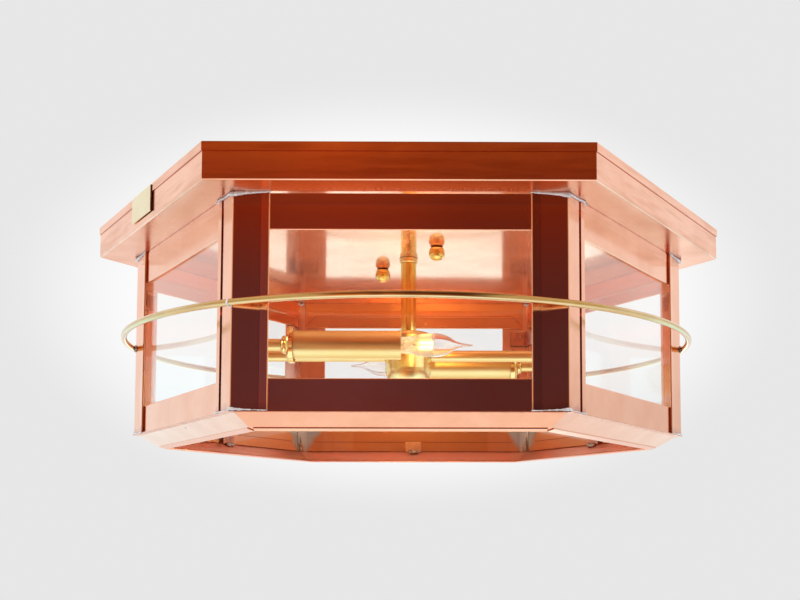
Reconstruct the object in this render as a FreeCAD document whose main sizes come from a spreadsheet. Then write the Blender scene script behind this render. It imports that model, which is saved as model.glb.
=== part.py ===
"""Hexagonal copper flush mount ceiling lantern with two flat candle arms.

Millimetres, +Z up. The origin is the middle of the ceiling plane, which the pan's rim and the
mounting strap meet from below. A flat side of the hexagon faces -Y, and a corner faces +X.
"""

import FreeCAD
import Part
import Sketcher
import math
import os
import re

SIDES = 6
SIDE_TURN = 360 / SIDES
HALF_TURN = SIDE_TURN / 2

# alias, size in millimetres, what it measures
SIZES = (
    ("copper", 0.8, "thickness of the copper sheet"),
    ("fold_inside", 0.6, "inner radius of a sharp fold"),
    ("canopy_corner", 254.0, "axis to a corner of the pan's rim"),
    ("rim_height", 25.4, "height of the pan's rim"),
    ("rim_hem", 6.2, "height of the hem folded out at the rim's top"),
    ("body_corner", 223.0, "axis to a corner of the lantern's body"),
    ("post_height", 146.0, "pan to bottom frame"),
    ("post_leg", 24.8, "width of a post's leg"),
    ("post_hem", 5.8, "width of the hem folded out at a leg's edge"),
    ("hem_flare", 0.3, "how much a post's hem stands off at its fold"),
    ("top_slit", 0.8, "gap between the pan and the front top rail"),
    ("top_rail_height", 25.4, "pan to the windows' top edge"),
    ("bottom_rail_height", 21.4, "height of a bottom rail"),
    ("rail_hem", 12.0, "height of the hem folded in at a rail's window edge"),
    ("rail_end_gap", 4.0, "rail's end to the corner's middle plane"),
    ("glass_thickness", 2.5, "thickness of a pane"),
    ("glass_play", 0.2, "pane to the hem of a rail"),
    ("glass_lap", 10.0, "how far a pane reaches up behind the top rail"),
    ("glass_side_gap", 5.5, "pane's edge to the corner's middle plane"),
    ("clip_thickness", 0.8, "thickness of the tabs that hold the panes"),
    ("foot_clip_width", 15.0, "width of a tab at a pane's foot"),
    ("foot_clip_height", 9.0, "height of a tab at a pane's foot above the frame"),
    ("post_clip_leg", 17.0, "leg of a tab behind a post, from the corner"),
    ("post_clip_height", 13.0, "height of a tab behind a post"),
    ("post_clip_drop", 29.5, "pan to the top of a tab behind a post"),
    ("post_clip_stalk", 2.0, "width of the stalk that carries such a tab"),
    ("frame_ledge", 3.5, "flat margin of the bottom frame under posts and rails"),
    ("frame_slope_run", 13.8, "sloped face of the bottom frame, measured inwards"),
    ("frame_slope_drop", 8.8, "fall of that sloped face"),
    ("frame_lip_run", 5.3, "hemmed lip of the bottom frame, measured inwards"),
    ("frame_lip_drop", 1.4, "fall of that lip"),
    ("ring_rod", 4.8, "diameter of the guard ring's rod"),
    ("ring_fit", 0.1, "guard ring to a post's corner"),
    ("ring_drop", 75.0, "pan to the middle of the guard ring"),
    ("nipple_bore", 6.4, "bore of the threaded nipple"),
    ("nipple_outside", 10.2, "diameter of the threaded nipple"),
    ("nipple_rise", 8.0, "nipple above the pan's plate"),
    ("nipple_reach", 4.0, "nipple inside the hub, below its roof"),
    ("nipple_fit", 0.15, "clearance round the nipple"),
    ("washer_outside", 20.0, "diameter of the nipple's washer"),
    ("washer_thickness", 1.2, "thickness of the nipple's washer"),
    ("nipple_nut_flats", 15.9, "nipple nut across flats"),
    ("nipple_nut_height", 4.0, "height of the nipple nut"),
    ("stem_outside", 12.6, "diameter of the stem tube"),
    ("stem_length", 62.2, "length of the stem tube"),
    ("collar_outside", 14.6, "diameter of the stem's collar"),
    ("collar_height", 4.2, "height of the stem's collar"),
    ("collar_fit", 0.1, "collar to stem"),
    ("hub_outside", 37.4, "diameter of the hub"),
    ("hub_height", 25.0, "height of the hub's body"),
    ("hub_wall", 2.0, "wall of the hub's body and cap"),
    ("hub_shoulder", 4.0, "radius of the hub's top edge"),
    ("cap_skirt", 5.0, "straight part of the hub's cap"),
    ("cap_depth", 23.0, "depth of the hub's cap"),
    ("cap_spigot", 3.0, "height of the cap's spigot inside the hub"),
    ("cap_fit", 0.1, "cap's spigot to the hub's wall"),
    ("arm_outside", 9.4, "diameter of an arm's tube"),
    ("arm_bore", 7.4, "bore of an arm's tube"),
    ("arm_fit", 0.1, "clearance round an arm's tube"),
    ("arm_drop", 19.0, "hub's top to the arms' axis"),
    ("arm_inside", 3.0, "arm inside the hub's wall"),
    ("arm_reach", 114.0, "axis to the start of an arm's bend"),
    ("arm_bend", 28.5, "radius of an arm's flat bend"),
    ("lamp_start", 96.0, "axis to the outer end of an arm's bead"),
    ("arm_tail", 12.0, "arm's end beyond the outer end of its bead"),
    ("bead_length", 4.3, "length of an arm's bead"),
    ("bead_outside", 14.4, "diameter of an arm's bead"),
    ("bead_end", 10.8, "diameter of a bead's end faces"),
    ("cup_outside", 28.8, "diameter of a candle cup"),
    ("cup_depth", 5.2, "depth of a candle cup"),
    ("cup_wall", 1.0, "wall of a candle cup"),
    ("cup_curl", 2.6, "radius of a cup's turned-up edge"),
    ("sleeve_outside", 22.2, "diameter of a candle sleeve"),
    ("sleeve_wall", 0.8, "wall of a candle sleeve"),
    ("sleeve_length", 86.7, "length of a candle sleeve"),
    ("socket_fit", 0.2, "socket to sleeve"),
    ("socket_inset", 3.3, "sleeve's end to the socket's mouth"),
    ("socket_length", 24.0, "length of the socket's body"),
    ("socket_foot", 7.0, "length of the socket's threaded foot"),
    ("socket_leg_width", 7.0, "width of the socket's two legs"),
    ("socket_leg_thickness", 2.2, "thickness of the socket's two legs"),
    ("base_outside", 11.9, "diameter of a bulb's screw base"),
    ("base_length", 19.0, "length of a bulb's screw base"),
    ("base_wall", 0.5, "wall of a bulb's screw base"),
    ("base_fit", 0.1, "bulb's base to the socket's bore"),
    ("base_proud", 0.5, "bulb's base beyond the socket's mouth"),
    ("base_end_gap", 0.5, "bulb's base to the end of the socket's bore"),
    ("bulb_neck", 12.8, "diameter of a bulb's neck"),
    ("bulb_outside", 18.4, "diameter of a bulb"),
    ("bulb_belly", 29.0, "bulb's neck to its fullest section"),
    ("bulb_taper", 25.6, "bulb's fullest section to its point"),
    ("bulb_point", 2.2, "diameter of a bulb's point"),
    ("bulb_point_length", 3.6, "length of a bulb's point"),
    ("bulb_wall", 0.7, "wall of a bulb's glass"),
    ("mount_outside", 4.4, "diameter of a bulb's glass mount"),
    ("mount_length", 32.0, "length of a bulb's glass mount"),
    ("mount_shoulder", 4.0, "taper of a bulb's glass mount"),
    ("filament_outside", 1.2, "diameter of a bulb's filament"),
    ("filament_length", 23.0, "length of a bulb's filament"),
    ("stud_outside", 4.17, "diameter of a mounting stud"),
    ("stud_circle", 46.5, "axis to a mounting stud"),
    ("stud_fit", 0.07, "clearance round a mounting stud"),
    ("ball_outside", 12.7, "diameter of a ball nut"),
    ("ball_flat", 4.7, "ball's middle to its flat top"),
    ("ball_gap", 0.25, "ball nut to the pan"),
    ("ball_bore_end", 3.0, "ball's middle to the end of its bore"),
    ("stud_end_gap", 1.0, "stud's end to the end of the ball's bore"),
    ("strap_length", 112.0, "length of the mounting strap"),
    ("strap_width", 20.0, "width of the mounting strap"),
    ("strap_thickness", 1.6, "thickness of the mounting strap"),
    ("strap_centre_hole", 11.0, "hole for the wires in the strap's middle"),
    ("box_screw_circle", 69.85, "pitch circle of the ceiling box screws"),
    ("box_screw_hole", 4.8, "hole for a ceiling box screw"),
    ("strap_nut_flats", 7.9, "strap nut across flats"),
    ("strap_nut_height", 3.2, "height of a strap nut"),
    ("tag_length", 47.0, "length of the rim's tag"),
    ("tag_height", 19.0, "height of the rim's tag"),
    ("tag_thickness", 0.8, "thickness of the rim's tag"),
    ("tag_top", 1.0, "rim's top to the tag's top edge"),
    ("tag_offset", 5.0, "tag's middle from the middle of its side"),
)

# Levels and distances that several pieces share, worked out from the sizes
FOLD = "(fold_inside + copper)"
PAN_FLAT = f"(canopy_corner * cos({HALF_TURN}))"
PLATE = "(-rim_height)"
PLATE_TOP = "(copper - rim_height)"
FLAT = f"(body_corner * cos({HALF_TURN}))"
POST_NOSE = f"(body_corner - {FOLD} * (1 / cos({HALF_TURN}) - 1))"
LEDGE = "(-rim_height - post_height)"
RAIL_OUT = f"({FLAT} - copper)"
RAIL_IN = f"({FLAT} - 2 * copper)"
RAIL_HEM = f"({FLAT} - 3 * copper)"
GLASS_DEPTH = "(3 * copper + glass_play + glass_thickness)"
GLASS_IN = f"({FLAT} - {GLASS_DEPTH})"
WINDOW_TOP = f"({PLATE} - top_rail_height)"
FRAME_SLOPE = f"({FLAT} - frame_ledge)"
FRAME_LIP = f"({FRAME_SLOPE} - frame_slope_run)"
FRAME_EDGE = f"({FRAME_LIP} - frame_lip_run)"
LIP_LEVEL = f"({LEDGE} - frame_slope_drop)"
EDGE_LEVEL = f"({LIP_LEVEL} - frame_lip_drop)"
NIPPLE_HOLE = "(nipple_outside / 2 + nipple_fit)"
HUB_TOP = f"({PLATE} - stem_length)"
HUB_FOOT = f"({HUB_TOP} - hub_height)"
ARM_LEVEL = f"({HUB_TOP} - arm_drop)"
ARM_HOLE = "(arm_outside / 2 + arm_fit)"
CUP_FLOOR = "(bead_length + cup_wall)"
SLEEVE_END = f"({CUP_FLOOR} + sleeve_length)"
SOCKET_MOUTH = f"({SLEEVE_END} - socket_inset)"
SOCKET_OUTER = "(sleeve_outside / 2 - sleeve_wall - socket_fit)"
SOCKET_BORE = "(base_outside / 2 + base_fit)"
NECK = f"({SOCKET_MOUTH} + base_proud)"
BASE_FOOT = f"({NECK} - base_length)"
STUD_HOLE = "(stud_outside / 2 + stud_fit)"
BALL_LEVEL = f"({PLATE} - ball_gap - ball_flat)"

STUD_ANGLES = (-60, 120)
LAMP_ANGLES = (180, 0)
TAG_SIDE_ANGLE = 210
FRONT_SIDE = 4
Z_AXIS = FreeCAD.Vector(0, 0, 1)
UPRIGHT = FreeCAD.Rotation(FreeCAD.Vector(1, 0, 0), 90)
ALONG_LAMP = FreeCAD.Rotation(FreeCAD.Vector(0, 1, 0), -90)
CONVEX, HOLLOW = 1, -1
FUNCTIONS = ("cos", "sin", "tan", "sqrt", "min", "max")

doc = FreeCAD.newDocument("ceiling_lantern")
sizes = doc.addObject("Spreadsheet::Sheet", "Sizes")
nodes = []


def fill_sizes():
    """Write every size, with its alias, into the sheet."""
    for row, (alias, size, meaning) in enumerate(SIZES, start=1):
        sizes.set(f"A{row}", meaning)
        sizes.set(f"B{row}", str(size))
        sizes.setAlias(f"B{row}", alias)
    doc.recompute()


def formula(text):
    """Turn plain size names into names that the document understands."""
    return re.sub(
        r"[a-z][a-z_]*",
        lambda word: word[0] if word[0] in FUNCTIONS else f"Sizes.{word[0]}",
        text,
    )


def measure(text):
    """Work out a formula as a number."""
    return float(sizes.evalExpression(formula(text)))


def tie(item, **formulas):
    """Bind properties of an object to formulas of the sizes."""
    for name, text in formulas.items():
        item.setExpression(name, formula(text))
    return item


def place(item, x="0", y="0", z="0", rotation=FreeCAD.Rotation()):
    """Turn an object and bind where its own origin stands."""
    item.Placement = FreeCAD.Placement(FreeCAD.Vector(), rotation)
    for axis, text in zip("xyz", (x, y, z)):
        item.setExpression(f"Placement.Base.{axis}", formula(text))
    return item


def swing(item, angle, x="0", y="0", z="0", rotation=FreeCAD.Rotation()):
    """Place an object at x, y, z in a frame that is swung round the axis by an angle."""
    swung_x = f"({x}) * cos({angle}) - ({y}) * sin({angle})"
    swung_y = f"({x}) * sin({angle}) + ({y}) * cos({angle})"
    return place(item, swung_x, swung_y, z, FreeCAD.Rotation(Z_AXIS, angle).multiply(rotation))


def keep(item, label):
    """Name an object as a finished piece."""
    item.Label = label
    nodes.append(item)
    return item


def add(kind, name, **formulas):
    """Add an object with its sizes bound."""
    return tie(doc.addObject(kind, name), **formulas)


def trace(sketch, corners, closed=True):
    """Draw an outline with every corner tied to the sizes.

    A corner is (x, y), or (x, y, centre x, centre y, sense) where an arc leads on to the next one.
    """
    spots = [FreeCAD.Vector(measure(corner[0]), measure(corner[1]), 0) for corner in corners]
    legs = len(corners) if closed else len(corners) - 1
    ends = []
    for number in range(legs):
        start, stop = spots[number], spots[(number + 1) % len(spots)]
        if len(corners[number]) == 2:
            ends.append((sketch.addGeometry(Part.LineSegment(start, stop), False), 1, 2))
            continue
        centre = FreeCAD.Vector(measure(corners[number][2]), measure(corners[number][3]), 0)
        sense = corners[number][4]
        first, last = (start - centre, stop - centre) if sense == CONVEX else (stop - centre, start - centre)
        from_angle = math.atan2(first.y, first.x)
        sweep = (math.atan2(last.y, last.x) - from_angle) % (2 * math.pi)
        circle = Part.Circle(centre, Z_AXIS, first.Length)
        arc = sketch.addGeometry(Part.ArcOfCircle(circle, from_angle, from_angle + sweep), False)
        ends.append((arc, 1, 2) if sense == CONVEX else (arc, 2, 1))
    for number in range(legs if closed else legs - 1):
        index, _, end = ends[number]
        following, begin, _ = ends[(number + 1) % legs]
        sketch.addConstraint(Sketcher.Constraint("Coincident", index, end, following, begin))
    for number, corner in enumerate(corners):
        index, point = (ends[number][0], ends[number][1]) if number < legs else (ends[-1][0], ends[-1][2])
        pin(sketch, "DistanceX", index, point, corner[0])
        pin(sketch, "DistanceY", index, point, corner[1])
        if len(corner) > 2:
            chord = spots[(number + 1) % len(spots)] - spots[number]
            if abs(chord.x) < abs(chord.y):
                pin(sketch, "DistanceX", index, 3, corner[2])
            else:
                pin(sketch, "DistanceY", index, 3, corner[3])
    return sketch


def pin(sketch, kind, index, point, text):
    """Fix one coordinate of a sketch point with a formula."""
    number = sketch.addConstraint(Sketcher.Constraint(kind, -1, 1, index, point, measure(text)))
    sketch.setExpression(f"Constraints[{number}]", formula(text))


def ring_of(sketch, radius, x="0", y="0"):
    """Draw a circle with its centre and radius tied to the sizes."""
    centre = FreeCAD.Vector(measure(x), measure(y), 0)
    index = sketch.addGeometry(Part.Circle(centre, Z_AXIS, measure(radius)), False)
    pin(sketch, "DistanceX", index, 3, x)
    pin(sketch, "DistanceY", index, 3, y)
    number = sketch.addConstraint(Sketcher.Constraint("Radius", index, measure(radius)))
    sketch.setExpression(f"Constraints[{number}]", formula(radius))
    return sketch


def new_body(name):
    """Start a body."""
    return doc.addObject("PartDesign::Body", name)


def sketch_on(body, name, role):
    """Start a sketch on one of the body's own planes."""
    sketch = body.newObject("Sketcher::SketchObject", name)
    plane = next(item for item in body.Origin.OriginFeatures if item.Role == role)
    sketch.AttachmentSupport = [(plane, "")]
    sketch.MapMode = "FlatFace"
    return sketch


def turned(name, corners):
    """Turn an outline of radius and height round the body's Z axis."""
    body = new_body(name)
    sketch = trace(sketch_on(body, f"{name}_outline", "XZ_Plane"), corners)
    turning = body.newObject("PartDesign::Revolution", f"{name}_turning")
    turning.Profile = sketch
    turning.ReferenceAxis = (sketch, ["V_Axis"])
    return body


def padded(name, role, corners, length, middle=False):
    """Give an outline a length, to both sides of its plane where middle is set."""
    body = new_body(name)
    pad = body.newObject("PartDesign::Pad", f"{name}_pad")
    pad.Profile = trace(sketch_on(body, f"{name}_outline", role), corners)
    if middle:
        pad.SideType = "Symmetric"
    tie(pad, Length=length)
    return body


def mirrored(body, features, role):
    """Mirror features of a body in one of its own planes."""
    mirror = body.newObject("PartDesign::Mirrored", f"{body.Name}_mirror")
    plane = next(item for item in body.Origin.OriginFeatures if item.Role == role)
    mirror.Originals = features
    mirror.MirrorPlane = (plane, [""])
    body.Tip = mirror
    return body


def strip(name, corners, length):
    """Fold a strip: an outline of distance and height, run along a side of the hexagon."""
    outline = trace(doc.addObject("Sketcher::SketchObject", f"{name}_outline"), corners)
    outline.Placement = FreeCAD.Placement(FreeCAD.Vector(), UPRIGHT)
    run = add("Part::Extrusion", name, LengthFwd=length)
    run.Base = outline
    run.DirMode = "Custom"
    run.Dir = FreeCAD.Vector(0, 1, 0)
    run.Symmetric = True
    run.Solid = True
    return run


def corner_wedge():
    """The sixth of the space that one side of the hexagon takes up."""
    reach = "(canopy_corner + body_corner)"
    outline = doc.addObject("Sketcher::SketchObject", "wedge_outline")
    trace(outline, (
        ("0", "0"),
        (reach, f"-{reach} * tan({HALF_TURN})"),
        (reach, f"{reach} * tan({HALF_TURN})"),
    ))
    wedge = add("Part::Extrusion", "wedge", LengthFwd="4 * (rim_height + post_height)")
    wedge.Base = outline
    wedge.DirMode = "Custom"
    wedge.Dir = Z_AXIS
    wedge.Symmetric = True
    wedge.Solid = True
    return wedge


def side_placement(side):
    """Turn from +X to a side of the hexagon."""
    return FreeCAD.Placement(FreeCAD.Vector(), FreeCAD.Rotation(Z_AXIS, HALF_TURN + side * SIDE_TURN))


def around(name, run, wedge):
    """Six mitred lengths of a folded strip, one for each side."""
    sectors = []
    for side in range(SIDES):
        sector = doc.addObject("Part::Common", f"{name}_side_{side + 1}")
        sector.Base = run
        sector.Tool = wedge
        sector.Placement = side_placement(side)
        sectors.append(sector)
    return sectors


def fused(name, items):
    """Join solids into one."""
    fuse = doc.addObject("Part::MultiFuse", name)
    fuse.Shapes = items
    fuse.Refine = True
    return fuse


def bored(name, base, tools):
    """Cut tools out of a solid."""
    cut = doc.addObject("Part::Cut", name)
    cut.Base = base
    cut.Tool = tools[0] if len(tools) == 1 else fused(f"{name}_tools", tools)
    return cut


def group(label, items):
    """Keep separate like solids in one node."""
    compound = doc.addObject("Part::Compound", label)
    compound.Links = items
    return keep(compound, label)


def canopy_pan(wedge):
    """Pan folded from one sheet, with a hem folded out and down at the top of its rim."""
    bend = f"({PAN_FLAT} - {FOLD})"
    bend_level = f"({PLATE} + {FOLD})"
    run = strip("pan_run", (
        ("0", PLATE),
        (bend, PLATE, bend, bend_level, CONVEX),
        (PAN_FLAT, bend_level),
        (PAN_FLAT, "-rim_hem"),
        (f"{PAN_FLAT} + copper", "-rim_hem"),
        (f"{PAN_FLAT} + copper", "-copper", PAN_FLAT, "-copper", CONVEX),
        (f"{PAN_FLAT} - copper", "-copper"),
        (f"{PAN_FLAT} - copper", bend_level, bend, bend_level, HOLLOW),
        (bend, PLATE_TOP),
        ("0", PLATE_TOP),
    ), "2 * canopy_corner")
    sheet = fused("pan_sheet", around("pan", run, wedge))
    holes = [place(add("Part::Cylinder", "pan_nipple_hole", Radius=NIPPLE_HOLE, Height="3 * copper"),
                   z=f"{PLATE} - copper")]
    for number, angle in enumerate(STUD_ANGLES, start=1):
        hole = add("Part::Cylinder", f"pan_stud_hole_{number}", Radius=STUD_HOLE, Height="3 * copper")
        holes.append(swing(hole, angle, x="stud_circle", z=f"{PLATE} - copper"))
    keep(bored("canopy_pan", sheet, holes), "canopy_pan")


def on_side(along, out):
    """A point beside the corner on +X: how far along the body's side, and how far out of it."""
    return (
        f"body_corner - ({along}) * sin({HALF_TURN}) + ({out}) * cos({HALF_TURN})",
        f"({along}) * cos({HALF_TURN}) + ({out}) * sin({HALF_TURN})",
    )


def corner_posts():
    """Posts bent to the hexagon's corner, the edge of each leg hemmed outwards."""
    centre = f"(body_corner - {FOLD} / cos({HALF_TURN}))"
    hem_end = "(post_leg - copper - hem_flare / 2)"
    for number in range(SIDES):
        body = padded(f"corner_post_{number + 1}", "XY_Plane", (
            (f"{centre} + {FOLD}", "0", centre, "0", CONVEX),
            on_side(f"{FOLD} * tan({HALF_TURN})", "0"),
            on_side("post_leg - post_hem", "0"),
            on_side("post_leg - post_hem", "copper"),
            (*on_side(hem_end, "copper + hem_flare"), *on_side(hem_end, "hem_flare / 2"), CONVEX),
            on_side(hem_end, "-copper"),
            (*on_side(f"{FOLD} * tan({HALF_TURN})", "-copper"), centre, "0", HOLLOW),
            (f"{centre} + fold_inside", "0"),
        ), "post_height")
        mirrored(body, [body.Tip], "XZ_Plane")
        swing(body, number * SIDE_TURN, z=LEDGE)
        keep(body, f"corner_post_{number + 1}")


def rails():
    """Strips behind the posts' legs, hemmed inwards; the front top one stops short of the pan."""
    end = f"({RAIL_HEM} * tan({HALF_TURN}) - rail_end_gap)"
    mitre = "(rail_hem - 2 * copper)"
    window_foot = f"({LEDGE} + bottom_rail_height)"
    hem_foot = f"({window_foot} - rail_hem)"
    hem_top = f"({WINDOW_TOP} + rail_hem)"
    lower = (
        (RAIL_OUT, LEDGE),
        (RAIL_OUT, f"{window_foot} - copper", RAIL_IN, f"{window_foot} - copper", CONVEX),
        (RAIL_HEM, f"{window_foot} - copper"),
        (RAIL_HEM, hem_foot),
        (RAIL_IN, hem_foot),
        (RAIL_IN, LEDGE),
    )
    lower_mitre = ((end, hem_foot), (end, f"{hem_foot} + {mitre}"), (f"{end} - {mitre}", hem_foot))
    upper_mitre = ((end, hem_top), (f"{end} - {mitre}", hem_top), (end, f"{hem_top} - {mitre}"))
    for side in range(SIDES):
        top = f"({PLATE} - top_slit)" if side == FRONT_SIDE else PLATE
        upper = (
            (RAIL_OUT, f"{WINDOW_TOP} + copper"),
            (RAIL_OUT, top),
            (RAIL_IN, top),
            (RAIL_IN, hem_top),
            (RAIL_HEM, hem_top),
            (RAIL_HEM, f"{WINDOW_TOP} + copper", RAIL_IN, f"{WINDOW_TOP} + copper", CONVEX),
        )
        for kind, outline, corner in (("top_rail", upper, upper_mitre), ("bottom_rail", lower, lower_mitre)):
            name = f"{kind}_{side + 1}"
            body = padded(name, "XZ_Plane", outline, f"2 * {end}", middle=True)
            sketch = trace(sketch_on(body, f"{name}_mitre_outline", "YZ_Plane"), corner)
            sketch.setExpression("AttachmentOffset.Base.z", formula(RAIL_IN))
            pocket = body.newObject("PartDesign::Pocket", f"{name}_mitre")
            pocket.Profile = sketch
            tie(pocket, Length="copper")
            mirrored(body, [pocket], "XZ_Plane")
            swing(body, HALF_TURN + side * SIDE_TURN)
            keep(body, name)


def glass_panes():
    """Flat panes that stand on the bottom frame behind the rails."""
    half_width = f"({GLASS_IN} * tan({HALF_TURN}) - glass_side_gap)"
    for side in range(SIDES):
        pane = add("Part::Box", f"glass_pane_{side + 1}", Length="glass_thickness",
                   Width=f"2 * {half_width}", Height=f"{WINDOW_TOP} + glass_lap - {LEDGE}")
        swing(pane, HALF_TURN + side * SIDE_TURN, x=GLASS_IN, y=f"-{half_width}", z=LEDGE)
        keep(pane, f"glass_pane_{side + 1}")


def glass_clips():
    """Tabs at the middle of each pane's foot, and bent tabs behind the posts."""
    sink = f"(({GLASS_DEPTH} - frame_ledge) * frame_slope_drop / frame_slope_run)"
    feet = []
    for side in range(SIDES):
        tab = add("Part::Box", f"foot_clip_{side + 1}", Length="clip_thickness", Width="foot_clip_width",
                  Height=f"foot_clip_height + {sink}")
        feet.append(swing(tab, HALF_TURN + side * SIDE_TURN, x=f"{GLASS_IN} - clip_thickness",
                          y="-foot_clip_width / 2", z=f"{LEDGE} - {sink}"))
    group("bottom_glass_clips", feet)

    back = f"({GLASS_DEPTH} + clip_thickness)"
    stalk = "(post_clip_stalk / 2)"
    stalk_end = f"body_corner - copper / cos({HALF_TURN}) - {stalk} * tan({HALF_TURN})"
    at_stalk = f"(({stalk} + {GLASS_DEPTH} * sin({HALF_TURN})) / cos({HALF_TURN}))"
    tabs = []
    for number in range(SIDES):
        body = padded(f"post_clip_{number + 1}", "XY_Plane", (
            (f"body_corner - {back} / cos({HALF_TURN})", "0"),
            (stalk_end, "0"),
            (stalk_end, stalk),
            on_side(at_stalk, f"-{GLASS_DEPTH}"),
            on_side("post_clip_leg", f"-{GLASS_DEPTH}"),
            on_side("post_clip_leg", f"-{back}"),
        ), "post_clip_height")
        mirrored(body, [body.Tip], "XZ_Plane")
        tabs.append(swing(body, number * SIDE_TURN, z=f"{PLATE} - post_clip_drop - post_clip_height"))
    group("post_glass_clips", tabs)


def bottom_frame(wedge):
    """Mitred frame: ledge, slope and lip, with a hem under the lip that is notched at the corners."""
    outer = f"({FLAT} + copper)"
    sheet = strip("frame_run", (
        (outer, f"{LEDGE} - copper"),
        (outer, LEDGE),
        (FRAME_SLOPE, LEDGE),
        (FRAME_LIP, LIP_LEVEL),
        (FRAME_EDGE, EDGE_LEVEL),
        (FRAME_EDGE, f"{EDGE_LEVEL} - copper"),
        (FRAME_LIP, f"{LIP_LEVEL} - copper"),
        (FRAME_SLOPE, f"{LEDGE} - copper"),
    ), "2 * canopy_corner")
    hem_corners = (
        (FRAME_LIP, f"{LIP_LEVEL} - copper"),
        (FRAME_EDGE, f"{EDGE_LEVEL} - copper"),
        (FRAME_EDGE, EDGE_LEVEL, FRAME_EDGE, f"{EDGE_LEVEL} - copper", CONVEX),
        (FRAME_EDGE, f"{EDGE_LEVEL} - 2 * copper"),
        (FRAME_LIP, f"{LIP_LEVEL} - 2 * copper"),
    )
    hems = []
    for side in range(SIDES):
        hem = strip(f"frame_hem_{side + 1}", hem_corners, f"2 * {FRAME_EDGE} * tan({HALF_TURN})")
        hem.Placement = side_placement(side)
        hems.append(hem)
    keep(fused("bottom_frame", around("frame", sheet, wedge) + hems), "bottom_frame")


def guard_ring():
    """Rod bent to a ring that touches the posts' corners."""
    rod = "(ring_rod / 2)"
    ring = add("Part::Torus", "guard_ring", Radius1=f"{POST_NOSE} + ring_fit + {rod}", Radius2=rod)
    keep(place(ring, z=f"{PLATE} - ring_drop"), "guard_ring")


def tube(name, inside, outside, foot, top):
    """A plain turned tube between two levels."""
    return turned(name, ((inside, foot), (outside, foot), (outside, top), (inside, top)))


def hex_nut(name, flats, height, bore):
    """A plain hexagon nut that stands on its own origin."""
    corner = f"{flats} / 2 / cos({HALF_TURN})"
    blank = add("Part::Prism", f"{name}_blank", Circumradius=corner, Height=height)
    hole = add("Part::Cylinder", f"{name}_bore", Radius=bore, Height=f"3 * {height}")
    return bored(name, blank, [place(hole, z=f"-{height}")])


def stem():
    """Threaded nipple through pan, stem and hub, with the pieces that it clamps."""
    keep(tube("stem_nipple", "nipple_bore / 2", "nipple_outside / 2",
              f"{HUB_TOP} - hub_wall - nipple_reach", f"{PLATE_TOP} + nipple_rise"), "stem_nipple")
    washer_top = f"({PLATE_TOP} + washer_thickness)"
    keep(tube("nipple_washer", NIPPLE_HOLE, "washer_outside / 2", PLATE_TOP, washer_top), "nipple_washer")
    nut = hex_nut("nipple_nut", "nipple_nut_flats", "nipple_nut_height", NIPPLE_HOLE)
    keep(place(nut, z=washer_top), "nipple_nut")
    keep(tube("stem", NIPPLE_HOLE, "stem_outside / 2", HUB_TOP, PLATE), "stem")
    inside = "(stem_outside / 2 + collar_fit)"
    outside = "(collar_outside / 2)"
    rounding = f"({outside} - {inside})"
    foot = f"({PLATE} - collar_height)"
    keep(turned("stem_collar", (
        (inside, foot, inside, f"{foot} + {rounding}", CONVEX),
        (outside, f"{foot} + {rounding}"),
        (outside, PLATE),
        (inside, PLATE),
    )), "stem_collar")


def hub():
    """Hollow hub that the arms enter, closed below by a bowl with a spigot."""
    outside = "(hub_outside / 2)"
    inside = f"({outside} - hub_wall)"
    shoulder = f"({outside} - hub_shoulder)"
    shoulder_level = f"({HUB_TOP} - hub_shoulder)"
    roof = f"({HUB_TOP} - hub_wall)"
    body = turned("hub_body", (
        (inside, HUB_FOOT),
        (outside, HUB_FOOT),
        (outside, shoulder_level, shoulder, shoulder_level, CONVEX),
        (shoulder, HUB_TOP),
        (NIPPLE_HOLE, HUB_TOP),
        (NIPPLE_HOLE, roof),
        (shoulder, roof, shoulder, shoulder_level, HOLLOW),
        (inside, shoulder_level),
    ))
    pocket = body.newObject("PartDesign::Pocket", "hub_arm_holes")
    pocket.Profile = ring_of(sketch_on(body, "hub_arm_outline", "YZ_Plane"), ARM_HOLE, y=ARM_LEVEL)
    pocket.SideType = "Symmetric"
    tie(pocket, Length="2 * hub_outside")
    keep(body, "hub_body")

    skirt = f"({HUB_FOOT} - cap_skirt)"
    bowl = "(cap_depth - cap_skirt)"
    rise = f"({bowl} - hub_wall)"
    bowl_radius = f"(({outside} * {outside} + {bowl} * {bowl}) / (2 * {bowl}))"
    hollow_radius = f"(({inside} * {inside} + {rise} * {rise}) / (2 * {rise}))"
    spigot = f"({inside} - cap_fit)"
    keep(turned("hub_cap", (
        ("0", f"{skirt} - {bowl}", "0", f"{skirt} - {bowl} + {bowl_radius}", CONVEX),
        (outside, skirt),
        (outside, HUB_FOOT),
        (spigot, HUB_FOOT),
        (spigot, f"{HUB_FOOT} + cap_spigot - hub_wall"),
        (f"{spigot} - hub_wall", f"{HUB_FOOT} + cap_spigot - hub_wall"),
        (f"{spigot} - hub_wall", HUB_FOOT),
        (inside, skirt, "0", f"{skirt} - {rise} + {hollow_radius}", HOLLOW),
        ("0", f"{skirt} - {rise}"),
    )), "hub_cap")


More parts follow.
